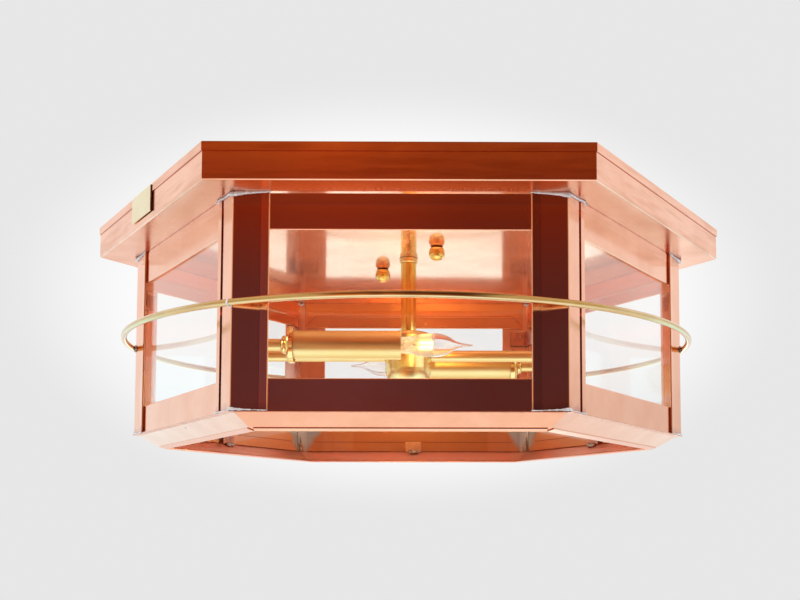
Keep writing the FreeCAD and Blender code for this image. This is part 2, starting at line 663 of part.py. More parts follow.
def lamp_arm(number, angle):
    """Tube that leaves the hub, bends back in a flat U and ends inside its candle."""
    body = new_body(f"lamp_arm_{number}")
    start = "(hub_outside / 2 - hub_wall - arm_inside)"
    spine = trace(sketch_on(body, f"arm_route_{number}", "XY_Plane"), (
        (start, "0"),
        ("arm_reach", "0", "arm_reach", "arm_bend", CONVEX),
        ("arm_reach", "2 * arm_bend"),
        ("lamp_start - arm_tail", "2 * arm_bend"),
    ), closed=False)
    section = sketch_on(body, f"arm_section_{number}", "YZ_Plane")
    section.setExpression("AttachmentOffset.Base.z", formula(start))
    ring_of(section, "arm_outside / 2")
    ring_of(section, "arm_bore / 2")
    pipe = body.newObject("PartDesign::AdditivePipe", f"arm_pipe_{number}")
    pipe.Profile = section
    pipe.Spine = (spine, [])
    swing(body, angle, z=ARM_LEVEL)
    keep(body, f"lamp_arm_{number}")


def round_bar(name, radius, height, foot):
    """A plain cylinder that stands on a level."""
    return place(add("Part::Cylinder", name, Radius=radius, Height=height), z=foot)


def lamp_socket(number):
    """Moulded candle socket: bored body, two legs and the foot that screws on the arm."""
    legs = []
    middle = f"({SOCKET_OUTER} - socket_leg_thickness)"
    for leg_number, side in enumerate((1, -1), start=1):
        leg = add("Part::Box", f"socket_leg_{number}_{leg_number}", Length="socket_leg_thickness",
                  Width="socket_leg_width", Height=f"{SOCKET_MOUTH} - {CUP_FLOOR} - socket_length / 2")
        inner = f"{side} * {middle} - socket_leg_thickness / 2"
        legs.append(place(leg, x=inner, y="-socket_leg_width / 2", z=CUP_FLOOR))
    solid = fused(f"socket_solid_{number}", [
        round_bar(f"socket_foot_{number}", SOCKET_OUTER, "socket_foot", CUP_FLOOR),
        round_bar(f"socket_shell_{number}", SOCKET_OUTER, "socket_length",
                  f"{SOCKET_MOUTH} - socket_length"),
        *legs,
    ])
    return bored(f"lamp_socket_{number}", solid, [
        round_bar(f"socket_arm_hole_{number}", ARM_HOLE, "2 * socket_foot",
                  f"{CUP_FLOOR} - socket_foot / 2"),
        round_bar(f"socket_bore_{number}", SOCKET_BORE, "2 * base_length", f"{BASE_FOOT} - base_end_gap"),
    ])


def bulb_outline(wall):
    """Outer line of a bulb's glass, or the line that lies a wall inside it."""
    neck = f"(bulb_neck / 2 - {wall})"
    belly = f"(bulb_outside / 2 - {wall})"
    point = f"(bulb_point / 2 - {wall} / 2)"
    belly_level = f"({NECK} + bulb_belly)"
    point_level = f"({belly_level} + bulb_taper)"
    swell = f"({belly} - {neck})"
    swell_radius = f"((bulb_belly * bulb_belly + {swell} * {swell}) / (4 * {swell}))"
    taper = f"({belly} - {point})"
    taper_radius = f"((bulb_taper * bulb_taper + {taper} * {taper}) / (4 * {taper}))"
    mid_swell = (f"({neck} + {belly}) / 2", f"{NECK} + bulb_belly / 2")
    mid_taper = (f"({belly} + {point}) / 2", f"{belly_level} + bulb_taper / 2")
    return (
        (neck, NECK, f"{neck} + {swell_radius}", NECK, HOLLOW),
        (*mid_swell, f"{belly} - {swell_radius}", belly_level, CONVEX),
        (belly, belly_level, f"{belly} - {taper_radius}", belly_level, CONVEX),
        (*mid_taper, f"{point} + {taper_radius}", point_level, HOLLOW),
        (point, point_level),
    )


def backwards(corners):
    """The same line, drawn from its other end."""
    line = []
    for number in range(len(corners) - 1, -1, -1):
        arc = corners[number - 1][2:] if number else ()
        turned_round = (*arc[:2], -arc[2]) if arc else ()
        line.append((*corners[number][:2], *turned_round))
    return line


def bulb_glass(number):
    """Clear flame-shaped envelope, blown with an even wall and open at its neck."""
    inner = bulb_outline("bulb_wall")
    tip = f"({NECK} + bulb_belly + bulb_taper + bulb_point_length)"
    rounding = "(bulb_point / 4)"
    return turned(f"bulb_glass_{number}", (
        *bulb_outline("0"),
        (f"bulb_point / 2 - {rounding}", f"{tip} - {rounding}"),
        ("0", tip),
        ("0", inner[-1][1]),
        *backwards(inner),
    ))


def lamp(number, angle):
    """One arm with its bead, cup, candle sleeve, socket and bulb, built along the bulb's own axis."""
    lamp_arm(number, angle)
    bead = "(bead_outside / 2)"
    bead_end = "(bead_end / 2)"
    bulge = f"({bead} - {bead_end})"
    barrel = f"((bead_length * bead_length / 4 + {bulge} * {bulge}) / (2 * {bulge}))"
    cup = "(cup_outside / 2)"
    curl = f"({cup} - cup_curl)"
    curl_level = "(bead_length + cup_curl)"
    sleeve = "(sleeve_outside / 2)"
    base = "(base_outside / 2)"
    mount = "(mount_outside / 2)"
    mount_foot = f"({BASE_FOOT} + base_wall)"
    mount_top = f"({mount_foot} + mount_length)"
    filament = "(filament_outside / 2)"
    pieces = {
        "arm_bead": turned(f"arm_bead_{number}", (
            (ARM_HOLE, "0"),
            (bead_end, "0", f"{bead} - {barrel}", "bead_length / 2", CONVEX),
            (bead_end, "bead_length"),
            (ARM_HOLE, "bead_length"),
        )),
        "candle_cup": turned(f"candle_cup_{number}", (
            (ARM_HOLE, "bead_length"),
            (curl, "bead_length", curl, curl_level, CONVEX),
            (cup, curl_level),
            (cup, "bead_length + cup_depth"),
            (f"{cup} - cup_wall", "bead_length + cup_depth"),
            (f"{cup} - cup_wall", curl_level, curl, curl_level, HOLLOW),
            (curl, CUP_FLOOR),
            (ARM_HOLE, CUP_FLOOR),
        )),
        "candle_sleeve": tube(
            f"candle_sleeve_{number}", f"{sleeve} - sleeve_wall", sleeve, CUP_FLOOR, SLEEVE_END,
        ),
        "lamp_socket": lamp_socket(number),
        "bulb_base": turned(f"bulb_base_{number}", (
            ("0", BASE_FOOT),
            (base, BASE_FOOT),
            (base, NECK),
            (f"{base} - base_wall", NECK),
            (f"{base} - base_wall", f"{BASE_FOOT} + base_wall"),
            ("0", f"{BASE_FOOT} + base_wall"),
        )),
        "bulb_glass": bulb_glass(number),
        "bulb_filament": turned(f"bulb_filament_{number}", (
            ("0", mount_foot),
            (mount, mount_foot),
            (mount, f"{mount_top} - mount_shoulder"),
            (filament, mount_top),
            (filament, f"{mount_top} + filament_length"),
            ("0", f"{mount_top} + filament_length"),
        )),
    }
    for name, piece in pieces.items():
        swing(piece, angle, x="lamp_start", y="2 * arm_bend", z=ARM_LEVEL, rotation=ALONG_LAMP)
        keep(piece, f"{name}_{number}")


def mounting():
    """Strap for the ceiling box, with two studs, their nuts and the ball nuts that hold the pan up."""
    bar = add("Part::Box", "strap_bar", Length="strap_length", Width="strap_width",
              Height="strap_thickness")
    place(bar, x="-strap_length / 2", y="-strap_width / 2", z="-strap_thickness")
    holes = []
    for name, radius, distance in (
        ("wire", "strap_centre_hole / 2", "0"),
        ("screw_near", "box_screw_hole / 2", "box_screw_circle / 2"),
        ("screw_far", "box_screw_hole / 2", "-box_screw_circle / 2"),
        ("stud_near", STUD_HOLE, "stud_circle"),
        ("stud_far", STUD_HOLE, "-stud_circle"),
    ):
        hole = add("Part::Cylinder", f"strap_{name}_hole", Radius=radius, Height="3 * strap_thickness")
        holes.append(place(hole, x=distance, z="-2 * strap_thickness"))
    strap = bored("mount_strap", bar, holes)
    keep(swing(strap, STUD_ANGLES[0]), "mount_strap")

    stud_end = f"({BALL_LEVEL} - ball_bore_end + stud_end_gap)"
    flat_radius = "sqrt(ball_outside * ball_outside / 4 - ball_flat * ball_flat)"
    studs = []
    nuts = []
    for number, angle in enumerate(STUD_ANGLES, start=1):
        stud = add("Part::Cylinder", f"stud_{number}", Radius="stud_outside / 2", Height=f"-{stud_end}")
        studs.append(swing(stud, angle, x="stud_circle", z=stud_end))
        nut = hex_nut(f"strap_nut_{number}", "strap_nut_flats", "strap_nut_height", STUD_HOLE)
        nuts.append(swing(nut, angle, x="stud_circle", z="-strap_thickness - strap_nut_height"))
        ball = turned(f"ball_nut_{number}", (
            ("0", "-ball_outside / 2", "0", "0", CONVEX),
            (flat_radius, "ball_flat"),
            (STUD_HOLE, "ball_flat"),
            (STUD_HOLE, "-ball_bore_end"),
            ("0", "-ball_bore_end"),
        ))
        keep(swing(ball, angle, x="stud_circle", z=BALL_LEVEL), f"ball_nut_{number}")
    group("mount_studs", studs)
    group("strap_nuts", nuts)


def rim_tag():
    """Bare tag that lies on the rim's hem."""
    tag = add("Part::Box", "rim_tag", Length="tag_thickness", Width="tag_length", Height="tag_height")
    swing(tag, TAG_SIDE_ANGLE, x=f"{PAN_FLAT} + copper", y="-tag_length / 2 - tag_offset",
          z="-tag_top - tag_height")
    keep(tag, "rim_tag")


def write_parts():
    """Check every object and write each finished piece to its own file."""
    doc.recompute()
    failed = [item.Name for item in doc.Objects if "Invalid" in item.State or "Error" in item.State]
    if failed:
        raise RuntimeError(f"objects failed: {failed}")
    for piece in nodes:
        if piece.Shape.isNull() or not piece.Shape.isValid() or not piece.Shape.Solids:
            raise RuntimeError(f"{piece.Label} has no valid solid")
    os.makedirs("parts", exist_ok=True)
    for piece in nodes:
        piece.Shape.exportStep(f"parts/{piece.Label}.step")
        print(piece.Label, len(piece.Shape.Solids), round(piece.Shape.Volume, 1))


fill_sizes()
mitre = corner_wedge()
canopy_pan(mitre)
corner_posts()
rails()
glass_panes()
glass_clips()
bottom_frame(mitre)
guard_ring()
stem()
hub()
for lamp_number, lamp_angle in enumerate(LAMP_ANGLES, start=1):
    lamp(lamp_number, lamp_angle)
mounting()
rim_tag()
write_parts()
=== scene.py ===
"""Dress the copper ceiling lantern: finishes, solder, screw threads, bulb insides and the studio.

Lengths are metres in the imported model's frame: the ceiling is Z = 0, the lantern hangs below it,
a flat side of the hexagon faces -Y and a corner faces +X.
"""

from __future__ import annotations

import logging
import math
from dataclasses import dataclass
from enum import Enum
from functools import partialmethod
from typing import Any, Iterable, Sequence

import bmesh
import bpy
from mathutils import Matrix, Vector

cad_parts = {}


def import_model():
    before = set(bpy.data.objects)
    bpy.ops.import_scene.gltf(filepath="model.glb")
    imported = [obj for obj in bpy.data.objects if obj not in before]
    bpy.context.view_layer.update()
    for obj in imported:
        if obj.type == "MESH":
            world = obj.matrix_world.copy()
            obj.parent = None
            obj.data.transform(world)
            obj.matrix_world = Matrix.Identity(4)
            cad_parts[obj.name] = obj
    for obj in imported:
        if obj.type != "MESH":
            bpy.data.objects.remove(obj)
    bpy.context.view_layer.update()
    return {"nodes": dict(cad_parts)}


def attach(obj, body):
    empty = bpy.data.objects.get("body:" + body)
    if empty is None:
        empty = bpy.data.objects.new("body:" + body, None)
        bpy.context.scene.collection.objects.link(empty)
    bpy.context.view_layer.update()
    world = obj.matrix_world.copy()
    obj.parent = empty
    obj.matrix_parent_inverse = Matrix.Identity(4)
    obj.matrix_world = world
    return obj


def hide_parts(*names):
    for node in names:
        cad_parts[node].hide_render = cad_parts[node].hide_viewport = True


LOG = logging.getLogger("ceiling_lantern")
MM = 0.001
SIDES = 6
SIDE_TURN = math.radians(60.0)
HALF_TURN = SIDE_TURN / 2
IMAGE_WIDTH = 800
SENSOR_WIDTH = 36.0
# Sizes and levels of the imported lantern: corner radius, pan's plate, bottom frame's ledge, ring, pan's rim.
BODY_CORNER = 223.0 * MM
PLATE = -25.4 * MM
LEDGE = -171.4 * MM
RING_LEVEL = -100.4 * MM
RIM_START = 218.0 * MM
RIM_BLEND = 0.4 * MM
RIM_DULLED = 0.05
TIN_METALLIC = 0.25
GLASS_IOR = 1.5
# A level that no piece reaches, for a finish without heat stains.
NOWHERE = 9.0
WHITE = (1.0, 1.0, 1.0)

Triple = tuple[float, float, float]
Colour = Triple
Chain = list[tuple[Vector, float]]
Socket = bpy.types.NodeSocket
Node = bpy.types.Node
Tree = bpy.types.NodeTree
Piece = bpy.types.Object


class Body(Enum):
    """The rigid bodies that pieces ride on."""

    LANTERN = "lantern"
    BULB_1 = "bulb_1"
    BULB_2 = "bulb_2"


class Slot(Enum):
    """The record's material slots for new pieces; no piece here takes them."""

    STEEL = "zinc_steel"
    BULB_GLASS = "bulb_glass"
    FILAMENT = "filament"


class Wiring:
    """Short calls that add and join the nodes of one tree."""

    def __init__(self, tree: Tree) -> None:
        """Work on one node tree."""
        self.tree = tree

    def feed(self, socket: Socket, value: Any) -> None:
        """Link an output to an input socket, or set the input to a plain value."""
        if isinstance(value, Socket):
            self.tree.links.new(value, socket)
        else:
            socket.default_value = value

    def node(self, kind: str, settings: dict[str, Any] | None = None, **inputs: Any) -> Node:
        """Add a node.

        Args:
            kind: the node's type.
            settings: properties to set first.
            **inputs: values or sockets by input name, with _ for a space.

        Returns:
            The new node.
        """
        made = self.tree.nodes.new(kind)
        for name, value in (settings or {}).items():
            setattr(made, name, value)
        for name, value in inputs.items():
            self.feed(made.inputs[name.replace("_", " ")], value)
        return made

    def fill(self, made: Node, values: Iterable[Any]) -> Socket:
        """Feed a node's inputs in their order and give its first output."""
        for socket, value in zip(made.inputs, values):
            self.feed(socket, value)
        return made.outputs[0]

    def math(self, operation: str, *values: Any, clamp: bool = False) -> Socket:
        """Work out a sum on numbers or sockets; clamp keeps the answer from 0 to 1."""
        return self.fill(self.node("ShaderNodeMath", {"operation": operation, "use_clamp": clamp}), values)

    plus = partialmethod(math, "ADD")
    minus = partialmethod(math, "SUBTRACT")
    times = partialmethod(math, "MULTIPLY")
    over = partialmethod(math, "DIVIDE")
    times_plus = partialmethod(math, "MULTIPLY_ADD")

    def vector(self, operation: str, *values: Any) -> Socket:
        """Work out a sum on vectors; the answer is the node's first output."""
        return self.fill(self.node("ShaderNodeVectorMath", {"operation": operation}), values)

    def dot(self, first: Any, second: Any) -> Socket:
        """Give the dot product of two vectors."""
        return self.vector("DOT_PRODUCT", first, second).node.outputs["Value"]

    def split(self, vector: Any) -> Any:
        """Give the outputs X, Y and Z of a vector."""
        return self.node("ShaderNodeSeparateXYZ", Vector=vector).outputs

    def blend(self, share: Any, first: Any, second: Any) -> Socket:
        """Mix two colours or sockets by the second one's share, from 0 to 1."""
        made = self.node("ShaderNodeMix", {"data_type": "RGBA"})
        for index, value in ((0, share), (6, first), (7, second)):
            self.feed(made.inputs[index], rgba(value) if isinstance(value, tuple) else value)
        return made.outputs[2]

    def remap(self, value: Any, low: float, high: float, to_high: float = 1.0, smooth: bool = True) -> Socket:
        """Stretch a range of numbers to a range that starts at 0.

        Args:
            value: the number's socket.
            low: where the range starts.
            high: where the range ends.
            to_high: the answer at the end.
            smooth: ease in and out.

        Returns:
            The answer's socket.
        """
        style = "SMOOTHSTEP" if smooth else "LINEAR"
        made = self.node("ShaderNodeMapRange", {"interpolation_type": style}, Value=value, From_Min=low,
                         From_Max=high, To_Min=0.0, To_Max=to_high)
        return made.outputs["Result"]

    def noise(self, vector: Any, scale: Any, detail: float = 3.0, roughness: float = 0.5) -> Socket:
        """Add a cloud pattern and give its value from 0 to 1."""
        made = self.node("ShaderNodeTexNoise", Vector=vector, Scale=scale, Detail=detail, Roughness=roughness)
        return made.outputs["Fac"]

    def ramp(self, value: Any, stops: Sequence[tuple[float, Colour]]) -> Socket:
        """Turn a number into a colour.

        Args:
            value: the number's socket.
            stops: positions and their colours.

        Returns:
            The colour's socket.
        """
        made = self.node("ShaderNodeValToRGB", Fac=value)
        elements = made.color_ramp.elements
        while len(elements) < len(stops):
            elements.new(1.0)
        for element, (position, colour) in zip(elements, stops):
            element.position = position
            element.color = rgba(colour)
        return made.outputs["Color"]

    def bump(self, height: Any) -> Socket:
        """Turn a height in metres into the surface's direction."""
        return self.node("ShaderNodeBump", Height=height, Strength=1.0, Distance=1.0).outputs["Normal"]


def rgba(colour: Sequence[float]) -> tuple[float, float, float, float]:
    """Add full alpha to a colour."""
    return (*colour[:3], 1.0)


class Effect:
    """A surface effect that several finishes share, kept as one node group."""

    inputs: dict[str, Any] = {}
    output = "Mask"
    _made: dict[type, Tree] = {}

    @classmethod
    def tree(cls) -> Tree:
        """Give the effect's node group, built on first use."""
        if cls not in cls._made:
            tree = bpy.data.node_groups.new(cls.__name__, "ShaderNodeTree")
            for label, default in cls.inputs.items():
                kind = "NodeSocketFloat" if isinstance(default, float) else "NodeSocketVector"
                socket = tree.interface.new_socket(name=label, in_out="INPUT", socket_type=kind)
                if default is not None:
                    socket.default_value = default
            tree.interface.new_socket(name=cls.output, in_out="OUTPUT", socket_type="NodeSocketFloat")
            wire = Wiring(tree)
            given = tree.nodes.new("NodeGroupInput").outputs
            result = tree.nodes.new("NodeGroupOutput")
            wire.feed(result.inputs[cls.output], cls.draw(wire, given))
            cls._made[cls] = tree
        return cls._made[cls]

    @classmethod
    def on(cls, wire: Wiring, **inputs: Any) -> Socket:
        """Place the effect in a tree with its own inputs, and give its output."""
        return wire.node("ShaderNodeGroup", {"node_tree": cls.tree()}, **inputs).outputs[cls.output]

    @classmethod
    def draw(cls, wire: Wiring, given: Any) -> Socket:
        """Wire the effect's own nodes.

        Args:
            wire: the group's wiring.
            given: the group's input sockets by name.

        Returns:
            The socket of the finished value.
        """
        raise NotImplementedError


class PolishGrain(Effect):
    """Fine buffing lines: noise drawn out along the way the sheet was rubbed."""

    inputs = {"Vector": None, "Stretch": WHITE}

    @classmethod
    def draw(cls, wire: Wiring, given: Any) -> Socket:
        """Lay fine and coarse lines over each other."""
        drawn = wire.vector("MULTIPLY", given["Vector"], given["Stretch"])
        fine, coarse = (wire.noise(drawn, scale, detail=2.0) for scale in (1.0, 0.31))
        return wire.times(wire.plus(fine, coarse), 0.5)


class SheetWave(Effect):
    """Slow waves of hand-folded sheet, which make its reflections swim."""

    inputs = {"Vector": None, "Length": 0.09, "Flatten": 1.0}
    output = "Height"

    @classmethod
    def draw(cls, wire: Wiring, given: Any) -> Socket:
        """Use one soft cloud whose waves have the given length, and are shorter up and down."""
        part = wire.split(given["Vector"])
        level = wire.times(part["Z"], given["Flatten"])
        drawn = wire.node("ShaderNodeCombineXYZ", X=part["X"], Y=part["Y"], Z=level).outputs[0]
        return wire.noise(drawn, wire.over(1.0, given["Length"]), detail=1.0, roughness=0.35)


class SmudgeCloud(Effect):
    """Soft patches where hands and cloths have dulled the polish."""

    inputs = {"Vector": None, "Patch": 0.03, "Cover": 0.5}

    @classmethod
    def draw(cls, wire: Wiring, given: Any) -> Socket:
        """Break broad patches with finer ones and cut them at the cover."""
        broad = wire.noise(given["Vector"], wire.over(1.0, given["Patch"]), detail=5.0, roughness=0.6)
        floor = wire.times(wire.minus(1.0, given["Cover"]), 0.6)
        return wire.times(wire.minus(broad, floor), 1.8, clamp=True)


class HeatStain(Effect):
    """Brown and violet bloom that soldering leaves near two levels."""

    inputs = {"Vector": None, "Upper": 0.0, "Lower": -1.0, "Reach": 0.01}

    @classmethod
    def draw(cls, wire: Wiring, given: Any) -> Socket:
        """Fade with the distance to the nearer level, with a ragged edge."""
        height = wire.split(given["Vector"])["Z"]
        away = [wire.math("ABSOLUTE", wire.minus(height, given[level])) for level in ("Upper", "Lower")]
        near = wire.over(wire.math("MINIMUM", *away), given["Reach"])
        ragged = wire.times(wire.noise(given["Vector"], 140.0, detail=4.0), 1.1)
        return wire.minus(ragged, wire.times(near, 0.55), clamp=True)


class InnerFace(Effect):
    """The faces that look at the lantern's axis, which the maker left unpolished."""

    inputs = {"Vector": None}

    @classmethod
    def draw(cls, wire: Wiring, given: Any) -> Socket:
        """Compare the surface's direction with the way out from the axis."""
        outward = wire.vector("MULTIPLY", given["Vector"], (1.0, 1.0, 0.0))
        facing = wire.dot(wire.node("ShaderNodeNewGeometry").outputs["Normal"], outward)
        return wire.math("LESS_THAN", facing, 0.0)


class FlaredTop(Effect):
    """A strip's top edge that hammering has flared a little outwards."""

    inputs = {"Vector": None, "Top": 0.0, "Reach": 0.008, "Slope": 0.15}
    output = "Height"

    @classmethod
    def draw(cls, wire: Wiring, given: Any) -> Socket:
        """Lean the face out above a soft bend."""
        start = wire.minus(given["Top"], given["Reach"])
        above = wire.minus(wire.split(given["Vector"])["Z"], start)
        return wire.times(wire.math("SMOOTH_MAX", above, 0.0, 0.4 * MM), given["Slope"])


class Speckle(Effect):
    """Fine dull specks between polished ones, which lay a milky veil over reflections."""

    inputs = {"Vector": None, "Grain": 0.4 * MM}

    @classmethod
    def draw(cls, wire: Wiring, given: Any) -> Socket:
        """Cut fine clouds into specks."""
        clouds = wire.noise(given["Vector"], wire.over(1.0, given["Grain"]), detail=0.0)
        return wire.remap(clouds, 0.55, 0.62)


class CornerWash(Effect):
    """Tin that has run down a hexagon's inner corners, broad at the top and pointed at the foot."""

    inputs = {"Vector": None, "Corner": 0.2, "Foot": 0.0, "Top": 0.1}

    @classmethod
    def draw(cls, wire: Wiring, given: Any) -> Socket:
        """Widen with the height above the foot, up to the top."""
        part = wire.split(given["Vector"])
        square = wire.times_plus(part["X"], part["X"], wire.times(part["Y"], part["Y"]))
        short = wire.minus(given["Corner"], wire.math("SQRT", square))
        rise = wire.minus(part["Z"], given["Foot"])
        ragged = wire.times_plus(wire.noise(given["Vector"], 120.0, detail=2.0), 0.2, 0.27)
        inside = wire.minus(wire.times(rise, ragged), short)
        below = wire.math("LESS_THAN", part["Z"], given["Top"])
        return wire.times(wire.remap(inside, -0.8 * MM, 3.0 * MM), below)


class EdgeWearGlint(Effect):
    """Folds and cut edges, lightened partly where polish wears the metal bright and partly by a painted
    highlight.
    """

    inputs = {"Width": 0.6 * MM}

    @classmethod
    def draw(cls, wire: Wiring, given: Any) -> Socket:
        """Compare the surface with the same surface rounded over."""
        rounded = wire.node("ShaderNodeBevel", {"samples": 4}, Radius=given["Width"]).outputs["Normal"]
        true = wire.node("ShaderNodeNewGeometry").outputs["True Normal"]
        return wire.remap(wire.dot(rounded, true), 0.995, 0.85)


class CreviceShade(Effect):
    """Painted shade: darkening in folds and where pieces meet."""

    inputs = {"Reach": 1.2 * MM}
    same_piece = False

    @classmethod
    def draw(cls, wire: Wiring, given: Any) -> Socket:
        """Darken where close neighbours shut out the light."""
        settings = {"samples": 6, "only_local": cls.same_piece}
        open_sky = wire.node("ShaderNodeAmbientOcclusion", settings, Distance=given["Reach"])
        return wire.remap(open_sky.outputs["AO"], 0.93, 0.55)


class FoldShade(CreviceShade):
    """The same painted shade in the folds of one piece alone, for metal that lies behind glass."""

    same_piece = True


class OuterMargin(Effect):
    """The part of a level sheet that lies outside a hexagon."""

    inputs = {"Vector": None, "Start": 0.19, "Reach": 0.02}

    @classmethod
    def draw(cls, wire: Wiring, given: Any) -> Socket:
        """Measure how far a place lies out of the hexagon's nearest side."""
        part = wire.split(given["Vector"])
        far = wire.math("ABSOLUTE", part["Y"])
        for turn in (HALF_TURN, -HALF_TURN):
            across = wire.times_plus(part["X"], math.cos(turn), wire.times(part["Y"], math.sin(turn)))
            far = wire.math("MAXIMUM", far, wire.math("ABSOLUTE", across))
        return wire.over(wire.minus(far, given["Start"]), given["Reach"], clamp=True)


class Spangle(Effect):
    """Crystal facets of a zinc coat or of cast solder."""

    inputs = {"Vector": None, "Grain": 3.0 * MM}

    @classmethod
    def draw(cls, wire: Wiring, given: Any) -> Socket:
        """Give each cell its own level."""
        per_metre = wire.over(1.0, given["Grain"])
        cells = wire.node("ShaderNodeTexVoronoi", Vector=given["Vector"], Scale=per_metre)
        return wire.split(cells.outputs["Color"])["X"]


@dataclass(frozen=True)
class Finish:
    """A surface finish that becomes one material."""

    name: str

    def build(self) -> bpy.types.Material:
        """Make the material, or give it if it is made."""
        known = bpy.data.materials.get(self.name)
        if known:
            return known
        material = bpy.data.materials.new(self.name)
        material.use_nodes = True
        material.node_tree.nodes.clear()
        wire = Wiring(material.node_tree)
        shader = wire.node("ShaderNodeBsdfPrincipled")
        output = wire.node("ShaderNodeOutputMaterial")
        wire.feed(output.inputs["Surface"], shader.outputs["BSDF"])
        place = wire.node("ShaderNodeTexCoord").outputs["Object"]
        for label, value in self.surface(wire, place).items():
            wire.feed(shader.inputs[label], value)
        return material

    def surface(self, wire: Wiring, place: Socket) -> dict[str, Any]:
        """Work out what feeds the shader.

        Args:
            wire: the material's wiring.
            place: object coordinates in metres.

        Returns:
            Values and sockets by the names of the Principled shader's inputs.
        """
        raise NotImplementedError


@dataclass(frozen=True)
class MetalFinish(Finish):
    """Polished sheet, rod or turned metal."""

    colour: Colour
    dull: Colour
    # Edge colour: partly worn metal, partly a painted highlight.
    edge_wear_glint: Colour
    stain: Colour
    # Colour of the painted shade in crevices.
    crevice_shade: Colour
    stretch: Triple
    gloss: float = 0.04
    grain_gloss: float = 0.03
    smudge_gloss: float = 0.05
    wave: float = 0.03 * MM
    wave_length: float = 0.09
    flatten: float = 1.0
    grain_depth: float = 0.0015 * MM
    patch: float = 0.035
    cover: float = 0.45
    heat: Triple = (NOWHERE, NOWHERE, 0.01)
    edge: float = 0.4 * MM
    # Reach and kind of the painted crevice shade.
    crevice_shade_reach: float = 0.8 * MM
    crevice_shade_kind: type[CreviceShade] = CreviceShade
    washed: Triple | None = None
    weathered: Triple | None = None
    veil: float = 0.0
    streak: float = 0.0
    deep: Colour = (0.66, 0.26, 0.11)
    raw: Colour | None = None
    raw_gloss: float = 0.0
    flare: Triple | None = None

    def surface(self, wire: Wiring, place: Socket) -> dict[str, Any]:
        """Tint and roughen by smudges, heat and buffing lines, lighten edges with wear and a painted
        highlight, and darken crevices with painted shade.
        """
        grain = PolishGrain.on(wire, Vector=place, Stretch=self.stretch)
        smudge = SmudgeCloud.on(wire, Vector=place, Patch=self.patch, Cover=self.cover)
        upper, lower, reach = self.heat
        stain = HeatStain.on(wire, Vector=place, Upper=upper, Lower=lower, Reach=reach)
        tint = wire.blend(smudge, self.colour, self.dull)
        rough = wire.times_plus(grain, self.grain_gloss, self.gloss)
        rough = wire.times_plus(smudge, self.smudge_gloss, rough)
        rough = wire.times_plus(stain, self.smudge_gloss, rough, clamp=True)
        if self.weathered:
            tint, rough = self.weather(wire, place, tint, rough)
        if self.raw:
            inner = InnerFace.on(wire, Vector=place)
            tint = wire.blend(inner, tint, self.raw)
            rough = wire.times_plus(inner, self.raw_gloss, rough)
        # Edges: partly worn metal, partly a painted highlight.
        edge_wear_glint_mask = EdgeWearGlint.on(wire, Width=self.edge)
        # Painted shade darkens the crevices.
        crevice_shade_mask = self.crevice_shade_kind.on(wire, Reach=self.crevice_shade_reach)
        for share, colour in ((stain, self.stain), (edge_wear_glint_mask, self.edge_wear_glint), (crevice_shade_mask, self.crevice_shade)):
            tint = wire.blend(share, tint, colour)
        metallic: Any = 1.0
        if self.washed:
            corner, foot, top = self.washed
            tin = wire.times(CornerWash.on(wire, Vector=place, Corner=corner, Foot=foot, Top=top), inner)
            tint = wire.blend(tin, tint, TIN)
            metallic = wire.times_plus(tin, TIN_METALLIC - 1.0, 1.0)
        swell = SheetWave.on(wire, Vector=place, Length=self.wave_length, Flatten=self.flatten)
        height = wire.times_plus(grain, self.grain_depth, wire.times(swell, self.wave))
        if self.flare:
            top, reach, slope = self.flare
            height = wire.plus(height, FlaredTop.on(wire, Vector=place, Top=top, Reach=reach, Slope=slope))
        return {"Base Color": tint, "Roughness": rough, "Metallic": metallic, "Normal": wire.bump(height)}

    def weather(self, wire: Wiring, place: Socket, tint: Socket, rough: Socket) -> tuple[Socket, Socket]:
        """Streak and dull a level sheet outside a hexagon, and veil its underside within.

        Args:
            wire: the material's wiring.
            place: object coordinates in metres.
            tint: the clean sheet's colour.
            rough: the clean sheet's roughness.

        Returns:
            The weathered colour and roughness.
        """
        start, reach, dulled = self.weathered
        outside = OuterMargin.on(wire, Vector=place, Start=start, Reach=reach)
        rim = OuterMargin.on(wire, Vector=place, Start=RIM_START, Reach=RIM_BLEND)
        rubbed = PolishGrain.on(wire, Vector=place, Stretch=STREAKS)
        cover = wire.times_plus(rim, 0.5, wire.times_plus(outside, 0.8, 0.2))
        share = wire.times(wire.remap(rubbed, 0.42, 0.64, to_high=self.streak), cover)
        rough = wire.times_plus(wire.minus(outside, rim), dulled, rough)
        rough = wire.times_plus(rim, RIM_DULLED, rough)
        underside = wire.math("LESS_THAN", wire.split(place)["Z"], PLATE + 0.2 * MM)
        inside = wire.times(wire.minus(1.0, outside), underside)
        specks = wire.times(Speckle.on(wire, Vector=place), inside)
        return wire.blend(share, tint, self.deep), wire.times_plus(specks, self.veil, rough)


@dataclass(frozen=True)
class SpangledFinish(Finish):
    """Grey metal with a crystal face: solder, and zinc-coated steel."""

    colour: Colour
    dark: Colour
    gloss: float = 0.32
    grain: float = 3.0 * MM
    dent: float = 0.02 * MM
    metal: float = 1.0

    def surface(self, wire: Wiring, place: Socket) -> dict[str, Any]:
        """Vary each crystal's shade and gloss, and dull the hollows."""
        cell = Spangle.on(wire, Vector=place, Grain=self.grain)
        smudge = SmudgeCloud.on(wire, Vector=place, Patch=4 * self.grain, Cover=0.55)
        share = wire.times_plus(cell, 0.45, wire.times(smudge, 0.6), clamp=True)
        tint = wire.blend(share, self.colour, self.dark)
        rough = wire.times_plus(share, 0.25, self.gloss)
        height = wire.times(wire.noise(place, 1.0 / self.grain), self.dent)
        return {"Base Color": tint, "Roughness": rough, "Metallic": self.metal, "Normal": wire.bump(height)}


